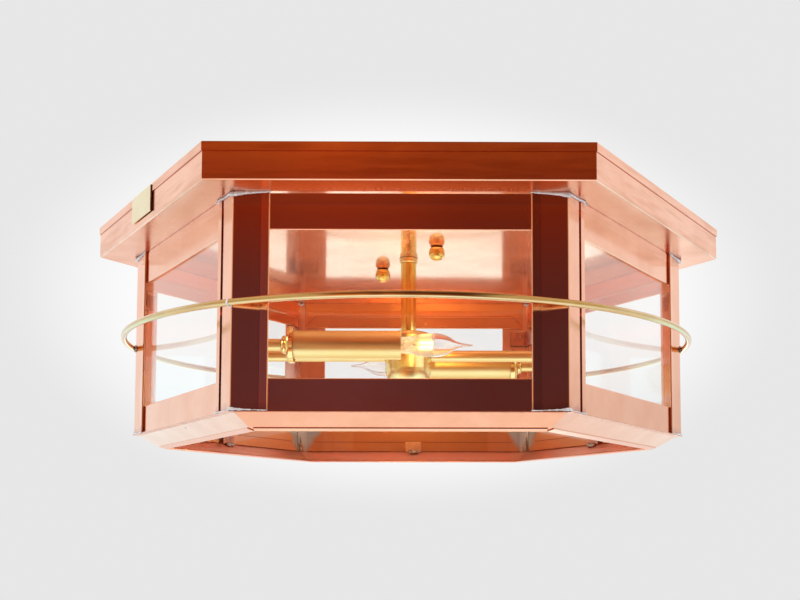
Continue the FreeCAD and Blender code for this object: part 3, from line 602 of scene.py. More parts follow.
@dataclass(frozen=True)
class GlassFinish(Finish):
    """Clear glass with faint wipe marks."""

    tint: Colour
    smear: Colour
    haze: float = 0.04
    wave: float = 0.004 * MM
    wave_length: float = 0.06
    patch: float = 0.05
    crackle: float = 0.0
    crackle_reach: float = 8.0 * MM
    crackle_grain: float = 1.6 * MM
    mist: float = 0.0
    mist_start: tuple[float, float] = (5.0 * MM, 10.0 * MM)
    mist_end: tuple[float, float] = (25.0 * MM, 17.0 * MM)
    # Colour and strength of a painted glow in the crackled glass.
    lit: Colour = (1.0, 0.66, 0.32)
    lit_strength: float = 0.2

    def surface(self, wire: Wiring, place: Socket) -> dict[str, Any]:
        """Keep it clear, with a hint of smear in tint, gloss and surface, and a painted glow in the crackled
        glass near the neck.
        """
        smudge = SmudgeCloud.on(wire, Vector=place, Patch=self.patch, Cover=0.35)
        rough = wire.times(smudge, self.haze)
        along = wire.math("ABSOLUTE", wire.split(place)["X"])
        if self.mist:
            cloud = wire.times(wire.remap(along, *self.mist_start), wire.remap(along, *self.mist_end))
            rough = wire.times_plus(cloud, self.mist, rough)
        swell = SheetWave.on(wire, Vector=place, Length=self.wave_length)
        height = wire.times(swell, self.wave)
        fed = {"Base Color": wire.blend(smudge, self.tint, self.smear), "Roughness": rough,
               "Transmission Weight": 1.0, "IOR": GLASS_IOR}
        if self.crackle:
            near = wire.remap(along, self.crackle_reach, 0.6 * self.crackle_reach)
            cells = Spangle.on(wire, Vector=place, Grain=self.crackle_grain)
            soft = wire.times_plus(wire.noise(place, 700.0, detail=1.0), 2.0, cells)
            height = wire.times_plus(wire.times(near, soft), self.crackle, height)
            # Painted glow: the crackle near the neck gives off the filament's warm light.
            painted_glow_share = wire.times(near, wire.remap(soft, 1.25, 1.9))
            fed["Emission Color"] = wire.blend(painted_glow_share, (0.0, 0.0, 0.0), self.lit)
            fed["Emission Strength"] = self.lit_strength
        return {**fed, "Normal": wire.bump(height)}


@dataclass(frozen=True)
class MouldedFinish(Finish):
    """Moulded dark plastic with a fine grain."""

    colour: Colour
    worn: Colour
    pit_depth: float = 0.01 * MM

    def surface(self, wire: Wiring, place: Socket) -> dict[str, Any]:
        """Mottle the colour and pit the surface."""
        smudge = SmudgeCloud.on(wire, Vector=place, Patch=6.0 * MM, Cover=0.5)
        pits = wire.times(wire.noise(place, 2500.0, detail=2.0), self.pit_depth)
        return {"Base Color": wire.blend(smudge, self.colour, self.worn),
                "Roughness": wire.times_plus(smudge, 0.2, 0.35), "Normal": wire.bump(pits)}


@dataclass(frozen=True)
class GlowFinish(Finish):
    """Filament wire that glows unevenly."""

    hot: Colour
    cool: Colour
    strength: float

    def surface(self, wire: Wiring, place: Socket) -> dict[str, Any]:
        """Vary the glow along the wire."""
        uneven = wire.noise(place, 260.0, detail=2.0)
        glow = wire.blend(uneven, self.hot, self.cool)
        return {"Base Color": glow, "Emission Color": glow, "Emission Strength": self.strength,
                "Roughness": wire.times_plus(uneven, 0.2, 0.4)}


TIN = (0.76, 0.75, 0.73)
# Colour of the rails' inner faces: partly unpolished copper, partly a painted warm glow from the lit bulbs.
UNPOLISHED_GLOW_COPPER = (0.97, 0.40, 0.17)
TOP_FLARE = (PLATE, 7.5 * MM, 0.14)
WASH_SPAN = (-0.173, -0.149)
# In each metal, the colour for crevices is painted shade. The colour for edges is partly worn metal and
# partly a painted highlight.
COPPER = dict(
    colour=(0.95, 0.52, 0.36), dull=(0.84, 0.39, 0.24), edge_wear_glint=(0.98, 0.66, 0.50), stain=(0.42, 0.22, 0.20),
    crevice_shade=(0.50, 0.05, 0.02),
)
BRASS = dict(
    colour=(0.73, 0.55, 0.29), dull=(0.58, 0.40, 0.19), edge_wear_glint=(0.90, 0.75, 0.50), stain=(0.50, 0.34, 0.14),
    crevice_shade=(0.16, 0.07, 0.015),
)
GOLD = {**BRASS, "colour": (0.97, 0.76, 0.34), "dull": (0.93, 0.66, 0.23), "edge_wear_glint": (0.98, 0.85, 0.52)}
DEEP_GOLD = {**GOLD, "colour": (0.95, 0.66, 0.19), "dull": (0.90, 0.56, 0.13)}
PALE_GOLD = {**GOLD, "colour": (0.99, 0.83, 0.40), "dull": (0.97, 0.75, 0.31)}
TUBE_GOLD = {**GOLD, "colour": (0.99, 0.80, 0.24), "dull": (0.97, 0.72, 0.18)}
LEVEL_LINES = (18.0, 18.0, 900.0)
UPRIGHT_LINES = (900.0, 900.0, 18.0)
ALL_WAYS = (160.0, 160.0, 160.0)
LENGTHWISE_X = (14.0, 1100.0, 1100.0)
STREAKS = (25.0, 25.0, 260.0)

PAN_COPPER = MetalFinish(
    "pan_copper", **COPPER, stretch=LEVEL_LINES, gloss=0.06, grain_gloss=0.05, wave=0.12 * MM,
    wave_length=0.06, flatten=3.0, weathered=(0.1931, 0.012, 0.15), veil=0.45, streak=0.36)
POST_COPPER = MetalFinish(
    "post_copper", **COPPER, stretch=UPRIGHT_LINES, gloss=0.10, heat=(PLATE, LEDGE, 0.006), wave=0.015 * MM,
    washed=(0.2222, *WASH_SPAN), raw=(0.97, 0.54, 0.38), raw_gloss=0.18, flare=TOP_FLARE)
# The rails darken only their own folds with painted shade.
RAIL_COPPER = MetalFinish(
    "rail_copper", **{**COPPER, "stain": (0.50, 0.09, 0.04)}, stretch=LEVEL_LINES, gloss=0.11, wave=0.04 * MM,
    flatten=2.0, crevice_shade_kind=FoldShade, heat=(PLATE, NOWHERE, 0.0011), washed=(0.2180, *WASH_SPAN),
    crevice_shade_reach=1.6 * MM, raw=UNPOLISHED_GLOW_COPPER, raw_gloss=0.20, flare=TOP_FLARE)
FRAME_COPPER = MetalFinish(
    "frame_copper", **COPPER, stretch=LEVEL_LINES, gloss=0.18, heat=(LEDGE, LEDGE, 0.0012), wave=0.02 * MM,
    raw=(0.95, 0.56, 0.44), raw_gloss=0.2)
CLIP_COPPER = MetalFinish("clip_copper", **COPPER, stretch=ALL_WAYS, gloss=0.2, heat=(-0.06, -0.168, 0.02))
ROD_BRASS = MetalFinish(
    "rod_brass", **BRASS, stretch=ALL_WAYS, gloss=0.07, wave=0.0, heat=(RING_LEVEL, RING_LEVEL, 0.0006))
TUBE_BRASS = MetalFinish("tube_brass", **TUBE_GOLD, stretch=UPRIGHT_LINES, gloss=0.11, wave=0.0)
SLEEVE_BRASS = MetalFinish(
    "sleeve_brass", **GOLD, stretch=LENGTHWISE_X, gloss=0.29, grain_gloss=0.12, wave=0.0)
BALL_BRASS = MetalFinish("ball_brass", **DEEP_GOLD, stretch=ALL_WAYS, gloss=0.05, wave=0.0, edge=0.2 * MM)
CUP_BRASS = MetalFinish("cup_brass", **GOLD, stretch=ALL_WAYS, gloss=0.06, wave=0.0, edge=0.2 * MM)
HUB_BRASS = MetalFinish("hub_brass", **PALE_GOLD, stretch=LEVEL_LINES, gloss=0.24, wave=0.0)
# The tag's edges are lightened partly by wear and partly by a painted highlight. Its crevices are darkened by
# painted shade.
TAG_BRASS = MetalFinish(
    "tag_brass", colour=(0.87, 0.76, 0.50), dull=(0.78, 0.65, 0.38), edge_wear_glint=(0.95, 0.88, 0.66),
    stain=(0.55, 0.42, 0.22), crevice_shade=BRASS["crevice_shade"], stretch=LEVEL_LINES, gloss=0.22, wave=0.02 * MM)
PANE_GLASS = GlassFinish("pane_glass", tint=(0.985, 0.995, 0.99), smear=(0.96, 0.975, 0.97))
# Near the neck, the flame bulb's crackled glass has a painted glow.
FLAME_GLASS = GlassFinish(
    "flame_glass", tint=(1.0, 0.995, 0.985), smear=(0.985, 0.975, 0.96), wave_length=0.012, crackle=0.5 * MM,
    mist=0.36)
MOUNT_GLASS = GlassFinish(
    "mount_glass", tint=(1.0, 0.95, 0.84), smear=(1.0, 0.90, 0.70), haze=0.55, patch=0.004, wave_length=0.004,
    wave=0.05 * MM)
BASE_METAL = SpangledFinish("base_metal", colour=(0.78, 0.72, 0.58), dark=(0.58, 0.50, 0.36), gloss=0.22)
ZINC = SpangledFinish("zinc_coat", colour=(0.72, 0.73, 0.75), dark=(0.52, 0.53, 0.56), gloss=0.30)
SOLDER = SpangledFinish(
    "solder", colour=(0.82, 0.82, 0.84), dark=(0.48, 0.48, 0.50), gloss=0.28, grain=2.2 * MM, dent=0.03 * MM,
    metal=0.4)
DARK_SOLDER = SpangledFinish(
    "dark_solder", colour=(0.50, 0.47, 0.46), dark=(0.20, 0.18, 0.18), gloss=0.18, grain=2.2 * MM,
    dent=0.05 * MM, metal=0.9)
SOCKET_BLACK = MouldedFinish("socket_black", colour=(0.018, 0.017, 0.016), worn=(0.05, 0.047, 0.043))
FILAMENT_GLOW = GlowFinish("filament_glow", hot=(1.0, 0.70, 0.26), cool=(1.0, 0.52, 0.13), strength=150.0)
LEAD_WIRE = SpangledFinish("lead_wire", colour=(0.62, 0.58, 0.52), dark=(0.42, 0.37, 0.30), gloss=0.25)


@dataclass
class Dressing:
    """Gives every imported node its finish, by the start of its name."""

    finishes: dict[str, Finish]

    def dress(self, nodes: dict[str, Piece]) -> None:
        """Put a finish on each node.

        Args:
            nodes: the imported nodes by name.
        """
        for name, node in nodes.items():
            stem = name.rstrip("0123456789").rstrip("_")
            finish = self.finishes[stem]
            node.data.materials.clear()
            node.data.materials.append(finish.build())
            LOG.info("node %s wears %s", name, finish.name)


NODE_FINISHES: dict[str, Finish] = {
    "canopy_pan": PAN_COPPER,
    "corner_post": POST_COPPER,
    "top_rail": RAIL_COPPER,
    "bottom_rail": RAIL_COPPER,
    "bottom_frame": FRAME_COPPER,
    "bottom_glass_clips": CLIP_COPPER,
    "post_glass_clips": CLIP_COPPER,
    "glass_pane": PANE_GLASS,
    "guard_ring": ROD_BRASS,
    "stem": TUBE_BRASS,
    "stem_collar": HUB_BRASS,
    "stem_nipple": ZINC,
    "nipple_washer": ZINC,
    "nipple_nut": ZINC,
    "hub_body": HUB_BRASS,
    "hub_cap": HUB_BRASS,
    "lamp_arm": SLEEVE_BRASS,
    "arm_bead": CUP_BRASS,
    "candle_cup": CUP_BRASS,
    "candle_sleeve": SLEEVE_BRASS,
    "lamp_socket": SOCKET_BLACK,
    "bulb_base": BASE_METAL,
    "bulb_glass": FLAME_GLASS,
    "bulb_filament": FLAME_GLASS,
    "mount_strap": ZINC,
    "ball_nut": BALL_BRASS,
    "mount_studs": ZINC,
    "strap_nuts": ZINC,
    "rim_tag": TAG_BRASS,
}


class PathTree:
    """Geometry nodes that work on paths, with sizes as named inputs."""

    name = "path"
    sizes: tuple[tuple[str, str], ...] = ()

    def __init__(self) -> None:
        """Build the tree with its inputs and outputs."""
        self.tree = bpy.data.node_groups.new(self.name, "GeometryNodeTree")
        self.tree.is_modifier = True
        face = self.tree.interface
        face.new_socket(name="Path", in_out="INPUT", socket_type="NodeSocketGeometry")
        for label, kind in (*self.sizes, ("Finish", "Material")):
            face.new_socket(name=label, in_out="INPUT", socket_type=f"NodeSocket{kind}")
        face.new_socket(name="Piece", in_out="OUTPUT", socket_type="NodeSocketGeometry")
        wire = Wiring(self.tree)
        given = self.tree.nodes.new("NodeGroupInput").outputs
        smooth = wire.node("GeometryNodeSetShadeSmooth", Geometry=self.draw(wire, given))
        real = wire.node("GeometryNodeRealizeInstances", Geometry=smooth.outputs[0])
        painted = wire.node("GeometryNodeSetMaterial", Geometry=real.outputs[0], Material=given["Finish"])
        wire.feed(self.tree.nodes.new("NodeGroupOutput").inputs["Piece"], painted.outputs[0])

    def draw(self, wire: Wiring, given: Any) -> Socket:
        """Wire the shape.

        Args:
            wire: the tree's wiring.
            given: the input sockets by name.

        Returns:
            The socket of the finished geometry.
        """
        raise NotImplementedError

    def sweep(self, wire: Wiring, curve: Socket, radius: Any, facets: Any) -> Socket:
        """Sweep a circle of some radius and count of facets along a curve."""
        circle = wire.node("GeometryNodeCurvePrimitiveCircle", Resolution=facets, Radius=radius)
        return wire.node("GeometryNodeCurveToMesh", Curve=curve, Profile_Curve=circle.outputs[0],
                         Fill_Caps=True).outputs[0]

    def make(self, name: str, chains: Iterable[Chain], finish: Finish, **sizes: Any) -> Piece:
        """Run the tree on paths and keep the result as a plain mesh.

        Args:
            name: the piece's name.
            chains: paths as lists of points, each with its own share of the thickness.
            finish: the piece's finish.
            **sizes: the tree's inputs by name, with _ for a space.

        Returns:
            The finished object, linked at the origin.
        """
        paths = path_object(f"{name}_paths", chains)
        modifier = paths.modifiers.new(self.name, "NODES")
        modifier.node_group = self.tree
        values = {label.replace("_", " "): value for label, value in sizes.items()}
        values["Finish"] = finish.build()
        for item in self.tree.interface.items_tree:
            if item.in_out == "INPUT" and item.name in values:
                modifier[item.identifier] = values[item.name]
        graph = bpy.context.evaluated_depsgraph_get()
        mesh = bpy.data.meshes.new_from_object(paths.evaluated_get(graph), depsgraph=graph)
        paths.modifiers.clear()
        bpy.data.objects.remove(paths)
        return piece_object(name, mesh)


class SolderRun(PathTree):
    """Hand-run solder: uneven beads along a seam that melt into each other."""

    name = "solder_run"
    sizes = (("Bead", "Float"), ("Spacing", "Float"), ("Wander", "Float"), ("Cell", "Float"), ("Seed", "Int"))
    bounds = (0.75, 1.2)
    threshold = 0.3

    def draw(self, wire: Wiring, given: Any) -> Socket:
        """Scatter beads on the paths, then melt them into one skin."""
        curve = wire.node("GeometryNodeMeshToCurve", Mesh=given["Path"])
        points = wire.node("GeometryNodeCurveToPoints", {"mode": "LENGTH"}, Curve=curve.outputs[0],
                           Length=given["Spacing"])
        reach = wire.vector("SCALE", (1.0, 1.0, 1.0))
        wire.feed(reach.node.inputs["Scale"], given["Wander"])
        back = wire.vector("SCALE", reach)
        back.node.inputs["Scale"].default_value = -1.0
        drift = wire.node("FunctionNodeRandomValue", {"data_type": "FLOAT_VECTOR"}, Seed=given["Seed"])
        wire.feed(drift.inputs[0], back)
        wire.feed(drift.inputs[1], reach)
        moved = wire.node("GeometryNodeSetPosition", Geometry=points.outputs["Points"],
                          Offset=drift.outputs[0])
        share = wire.node("GeometryNodeInputNamedAttribute", {"data_type": "FLOAT"}, Name="share")
        chance = wire.node("FunctionNodeRandomValue", {"data_type": "FLOAT"}, Seed=given["Seed"])
        for socket, bound in zip(chance.inputs[2:4], self.bounds):
            wire.feed(socket, bound)
        radius = wire.times(wire.times(given["Bead"], chance.outputs[1]), share.outputs["Attribute"])
        by_cell = {"resolution_mode": "VOXEL_SIZE"}
        cloud = wire.node("GeometryNodePointsToVolume", by_cell, Points=moved.outputs[0],
                          Voxel_Size=given["Cell"], Radius=radius)
        skin = wire.node("GeometryNodeVolumeToMesh", by_cell, Volume=cloud.outputs[0],
                         Voxel_Size=given["Cell"], Threshold=self.threshold)
        return skin.outputs[0]


class RodRun(PathTree):
    """Round wire that follows its paths."""

    name = "rod_run"
    sizes = (("Radius", "Float"), ("Facets", "Int"), ("Step", "Float"))

    def draw(self, wire: Wiring, given: Any) -> Socket:
        """Sweep a circle along the evened-out paths."""
        curve = wire.node("GeometryNodeMeshToCurve", Mesh=given["Path"])
        even = wire.node("GeometryNodeResampleCurve", {"mode": "LENGTH"}, Curve=curve.outputs[0],
                         Length=given["Step"])
        return self.sweep(wire, even.outputs[0], given["Radius"], given["Facets"])


class ThreadRun(PathTree):
    """Screw thread: a ridge wound round each path's first point, up the Z axis."""

    name = "thread_run"
    sizes = (("Radius", "Float"), ("Pitch", "Float"), ("Turns", "Float"), ("Ridge", "Float"))
    steps = 28
    facets = 4

    def draw(self, wire: Wiring, given: Any) -> Socket:
        """Wind a four-sided ridge and stand a copy on each point."""
        rise = wire.times(given["Pitch"], given["Turns"])
        coil = wire.node("GeometryNodeCurveSpiral", Resolution=self.steps, Rotations=given["Turns"],
                         Start_Radius=given["Radius"], End_Radius=given["Radius"], Height=rise)
        ridge = self.sweep(wire, coil.outputs[0], given["Ridge"], self.facets)
        return wire.node("GeometryNodeInstanceOnPoints", Points=given["Path"], Instance=ridge).outputs[0]


def path_object(name: str, chains: Iterable[Chain]) -> Piece:
    """Make an object whose edges are paths.

    Args:
        name: the object's name.
        chains: lists of points, each with its own share of the thickness.

    Returns:
        The linked object, with the shares kept as an attribute.
    """
    points: list[Vector] = []
    shares: list[float] = []
    edges: list[tuple[int, int]] = []
    for chain in chains:
        start = len(points)
        points.extend(point for point, _ in chain)
        shares.extend(share for _, share in chain)
        edges.extend((start + step, start + step + 1) for step in range(len(chain) - 1))
    mesh = bpy.data.meshes.new(name)
    mesh.from_pydata(points, edges, [])
    layer = mesh.attributes.new("share", "FLOAT", "POINT")
    layer.data.foreach_set("value", shares)
    return linked(name, mesh)


def linked(name: str, data: bpy.types.ID) -> Piece:
    """Make an object of a mesh, a light or a camera, and link it at the origin."""
    made = bpy.data.objects.new(name, data)
    bpy.context.scene.collection.objects.link(made)
    return made


def piece_object(name: str, mesh: bpy.types.Mesh) -> Piece:
    """Link a mesh under a piece's name."""
    mesh.name = name
    return linked(name, mesh)


def corner_point(corner: int, along: float, out: float, height: float) -> Vector:
    """Give a point beside a corner of the lantern's body.

    Args:
        corner: the corner's number from 0, which faces +X, counter-clockwise.
        along: distance from the corner along a side, negative for the clockwise side.
        out: distance out of that side's face.
        height: the level.

    Returns:
        The point in metres.
    """
    side = 1.0 if along >= 0.0 else -1.0
    x = BODY_CORNER - abs(along) * math.sin(HALF_TURN) + out * math.cos(HALF_TURN)
    y = side * (abs(along) * math.cos(HALF_TURN) + out * math.sin(HALF_TURN))
    return Matrix.Rotation(corner * SIDE_TURN, 3, "Z") @ Vector((x, y, height))


def side_point(side: int, out: float, along: float, height: float) -> Vector:
    """Give a point over the middle of a side: distance from the axis, along the side, and level."""
    turn = Matrix.Rotation(HALF_TURN + side * SIDE_TURN, 3, "Z")
    return turn @ Vector((out, along, height))


@dataclass
class SolderWork:
    """All the solder on the lantern's body."""

    leg: float = 24.8 * MM
    hem: float = 5.8 * MM
    sheet: float = 0.8 * MM
    ring_radius: float = 225.28 * MM
    rod: float = 2.4 * MM
    clip_out: float = 185.4 * MM
    clip_level: float = -172.2 * MM
    pan_corner: float = 251.6 * MM
    inner_corner: float = 219.4 * MM
    joint_corner: int = 4
    top_bead: float = 0.85 * MM
    foot_bead: float = 0.58 * MM

    def seam(self, corner: int, level: float, bead: float) -> Chain:
        """Follow a post's outer face round its corner, and keep the solder from coming through the sheet.

        Args:
            corner: the corner's number from 0.
            level: the face of the sheet that the post is soldered to.
            bead: the solder's usual radius, negative where it hangs below the sheet.

        Returns:
            The path, with its share of the bead.
        """
        flat = self.leg - self.hem
        side = 1.0 if corner in (2, 3, 4) else -1.0
        stops = ((-self.leg - 9.0 * MM, -self.sheet, 0.7), (-self.leg - self.sheet, -self.sheet, 1.2),
                 (-self.leg, self.sheet, 1.2), (-flat, self.sheet, 1.1), (-flat + self.sheet, 0.0, 1.2),
                 (-4.0 * MM, 0.0, 1.1), (0.0, 0.0, 2.2), (4.0 * MM, 0.0, 1.7), (0.5 * flat, 0.0, 1.3),
                 (flat - self.sheet, 0.0, 0.9), (flat, self.sheet, 1.0), (self.leg, self.sheet, 0.8))
        base = level - math.copysign(0.6 * MM, bead)
        return [(corner_point(corner, side * along, out + 0.2 * MM, base + 1.2 * bead * share), share)
                for along, out, share in stops]

    def upright(self, corner: int, radius: float, stops: Sequence[tuple[float, float]]) -> Chain:
        """Follow a corner's middle plane through levels in millimetres, each with its share of the bead."""
        turn = Matrix.Rotation(corner * SIDE_TURN, 3, "Z")
        return [(turn @ Vector((radius, 0.0, level * MM)), share) for level, share in stops]

    def ring_joint(self, rods: RodRun) -> Piece:
        """Wrap the butt joint of the guard ring's rod."""
        bend = [self.joint_corner * SIDE_TURN + math.radians(turn) for turn in (-0.2, 0.0, 0.2)]
        start = Vector((self.ring_radius, 0.0, RING_LEVEL))
        path = [(Matrix.Rotation(turn, 3, "Z") @ start, 1.0) for turn in bend]
        return rods.make("ring_joint", [path], SOLDER, Radius=self.rod + 0.12 * MM, Facets=24, Step=0.5 * MM)

    def build(self, run: SolderRun) -> list[Piece]:
        """Run every seam.

        Args:
            run: the geometry nodes that run solder.

        Returns:
            The solder pieces.
        """
        corners = range(SIDES)
        tops = [self.seam(corner, PLATE, -self.top_bead) for corner in corners]
        feet = [self.seam(corner, LEDGE, self.foot_bead) for corner in corners]
        rings = [[(corner_point(corner, 0.0, 0.3 * MM, RING_LEVEL + lift * MM), share)
                  for lift, share in ((-2.4, 0.8), (0.0, 1.0), (2.4, 0.8))] for corner in corners]
        clips = [[(side_point(side, self.clip_out, along * MM, self.clip_level), share)
                  for along, share in ((-5.0, 0.7), (-1.5, 1.2), (2.0, 1.3), (5.0, 0.6))] for side in corners]
        seams, dabs, fillets = (
            [self.upright(corner, radius, stops) for corner in corners] for radius, stops in (
                (self.pan_corner, ((-23.0, 1.0), (-2.5, 1.0))),
                (self.inner_corner, ((-54.0, 0.7), (-58.0, 1.1), (-64.0, 0.9), (-69.0, 0.6))),
                (self.inner_corner, ((-170.8, 1.1), (-166.0, 0.9), (-158.0, 0.5)))))
        # Name, paths, finish and bead; then the spacing, wander and cell in millimetres, and the seed.
        runs = (
            ("post_top_solder", tops, SOLDER, self.top_bead, 0.5, 0.08, 0.28, 3),
            ("post_foot_solder", feet, SOLDER, self.foot_bead, 0.5, 0.08, 0.28, 5),
            ("ring_solder", rings, SOLDER, 1.0 * MM, 0.7, 0.4, 0.32, 7),
            ("clip_solder", clips, DARK_SOLDER, 1.5 * MM, 0.9, 0.4, 0.4, 11),
            ("pan_seam_solder", seams, SOLDER, 1.0 * MM, 0.7, 0.3, 0.4, 13),
            ("post_clip_solder", dabs, DARK_SOLDER, 1.5 * MM, 0.7, 0.4, 0.4, 17),
            ("post_inner_solder", fillets, DARK_SOLDER, 1.5 * MM, 0.7, 0.3, 0.4, 19),
        )
        return [run.make(name, chains, finish, Bead=bead, Spacing=spacing * MM, Wander=wander * MM,
                         Cell=cell * MM, Seed=seed)
                for name, chains, finish, bead, spacing, wander, cell, seed in runs]


@dataclass
class CeilingThreads:
    """Screw threads that show inside the pan."""

    stud_circle: float = 46.5 * MM
    stud_start: float = -23.8 * MM
    stud_radius: float = 2.085 * MM
    nipple_start: float = -19.0 * MM
    nipple_radius: float = 5.1 * MM

    def build(self, run: ThreadRun) -> list[Piece]:
        """Wind the threads of the studs and the nipple.

        Args:
            run: the geometry nodes that wind threads.

        Returns:
            The thread pieces.
        """
        stud = Vector((self.stud_circle, 0.0, self.stud_start))
        studs = [[(Matrix.Rotation(turn * SIDE_TURN, 3, "Z") @ stud, 1.0)] for turn in (-1, 2)]
        middle = [[(Vector((0.0, 0.0, self.nipple_start)), 1.0)]]
        return [
            run.make("stud_threads", studs, ZINC, Radius=self.stud_radius, Pitch=0.8 * MM, Turns=23.0,
                     Ridge=0.28 * MM),
            run.make("nipple_thread", middle, ZINC, Radius=self.nipple_radius, Pitch=0.94 * MM, Turns=2.6,
                     Ridge=0.32 * MM),
        ]


@dataclass
class BulbWorks:
    """Glass mount, wires and filament inside one bulb; from the cage on, sizes are millimetres."""

    number: int
    turn: float
    offset: float = 57.0 * MM
    level: float = -106.6 * MM
    neck: float = 6.8 * MM
    strands: int = 6
    wire_facets: int = 8
    cage_radius: float = 2.9
    cage_ends: tuple[float, float] = (17.0, 27.0)
    hook_radius: float = 3.1
    facets: int = 32
    pinch_start: float = 7.0
    pinch: float = 0.55

    def spot(self, along: float, across: float = 0.0, up: float = 0.0) -> Vector:
        """Give a point by its distance beyond the neck, and across and above the bulb's axis."""
        place = Vector((along * MM - self.neck, -self.offset + across * MM, self.level + up * MM))
        return Matrix.Rotation(self.turn, 3, "Z") @ place

    def round_spot(self, along: float, radius: float, share: float, squash: float = 1.0) -> Vector:
        """Give a point on a circle round the axis, by its share of a full turn."""
        angle = 2 * math.pi * share
        return self.spot(along, radius * math.cos(angle), radius * squash * math.sin(angle))

    def build(self, rods: RodRun) -> list[Piece]:
        """Make the glass mount, the lead wires and the filament.

        Args:
            rods: the geometry nodes that sweep wires.

        Returns:
            The pieces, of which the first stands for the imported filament.
        """
        mount = self.glass_mount()
        cage: Chain = []
        for strand in range(self.strands):
            ends = self.cage_ends if strand % 2 == 0 else self.cage_ends[::-1]
            share = (strand + 0.5) / self.strands
            cage.extend((self.round_spot(end, self.cage_radius, share), 1.0) for end in ends)
        leads = [[(self.spot(11.0, across), 1.0), end] for across, end in ((0.8, cage[0]), (-0.8, cage[-1]))]
        hooks = [[(self.spot(12.0), 1.0), (self.spot(28.5), 1.0)]]
        for strand in range(0, self.strands, 2):
            tip = self.round_spot(27.4, self.hook_radius, (strand + 1.0) / self.strands)
            hooks.append([(self.spot(28.0), 1.0), (tip, 1.0)])
        filament = rods.make(f"filament_wire_{self.number}", [cage], FILAMENT_GLOW, Radius=0.15 * MM,
                             Facets=self.wire_facets, Step=0.5 * MM)
        wires = rods.make(f"lead_wires_{self.number}", leads + hooks, LEAD_WIRE, Radius=0.2 * MM,
                          Facets=self.wire_facets, Step=1.0 * MM)
        return [mount, filament, wires]

    def glass_mount(self) -> Piece:
        """Turn the flared glass stem that carries the wires."""
        outline = ((-17.5, 0.0), (-17.5, 4.6), (-15.0, 4.4), (-8.0, 2.9), (2.0, 2.3), (8.0, 2.1), (11.5, 2.5),
                   (13.0, 1.9), (13.4, 0.0))
        points, faces = [], []
        for along, radius in outline:
            squash = self.pinch if along > self.pinch_start else 1.0
            points.extend(self.round_spot(along, radius, facet / self.facets, squash)
                          for facet in range(self.facets))
        for ring in range(len(outline) - 1):
            low, high = ring * self.facets, (ring + 1) * self.facets
            for facet in range(self.facets):
                following = (facet + 1) % self.facets
                faces.append((low + facet, low + following, high + following, high + facet))
        name = f"glass_mount_{self.number}"
        mesh = bpy.data.meshes.new(name)
        mesh.from_pydata(points, [], faces)
        tidy_mesh(mesh)
        mesh.materials.append(MOUNT_GLASS.build())
        return piece_object(name, mesh)


def tidy_mesh(mesh: bpy.types.Mesh) -> None:
    """Merge doubles, turn faces outwards and shade a mesh smooth.

    Args:
        mesh: the mesh to tidy in place.
    """
    work = bmesh.new()
    work.from_mesh(mesh)
    bmesh.ops.remove_doubles(work, verts=work.verts, dist=1e-6)
    bmesh.ops.dissolve_degenerate(work, edges=work.edges, dist=1e-7)
    bmesh.ops.recalc_face_normals(work, faces=work.faces)
    for face in work.faces:
        face.smooth = True
    work.to_mesh(mesh)
    work.free()


ROOM_LEVELS = (
    (0.0, (0.72, 0.33, 0.14)), (0.10, (0.55, 0.20, 0.075)), (0.30, (0.46, 0.16, 0.05)),
    (0.345, (0.21, 0.04, 0.012)), (0.405, (0.20, 0.020, 0.004)), (0.433, (0.105, 0.043, 0.056)),
    (0.45, (0.105, 0.045, 0.062)), (0.495, (0.108, 0.036, 0.042)), (0.518, (0.13, 0.028, 0.018)),
    (0.532, (0.20, 0.017, 0.003)), (0.556, (0.17, 0.008, 0.0)), (0.568, (0.55, 0.125, 0.008)),
    (0.59, (0.57, 0.132, 0.010)), (0.63, (0.12, 0.05, 0.012)), (0.76, (0.13, 0.055, 0.015)),
    (0.88, (0.32, 0.15, 0.08)), (1.0, (0.50, 0.30, 0.20)),
)
ROOM_SHARES = (
    (0.0, 1.60), (0.10, 1.45), (0.19, 0.86), (0.24, 0.74), (0.31, 1.25), (0.40, 1.12), (0.50, 0.80),
    (0.58, 0.58), (0.65, 0.86), (0.77, 0.62), (1.0, 0.52),
)


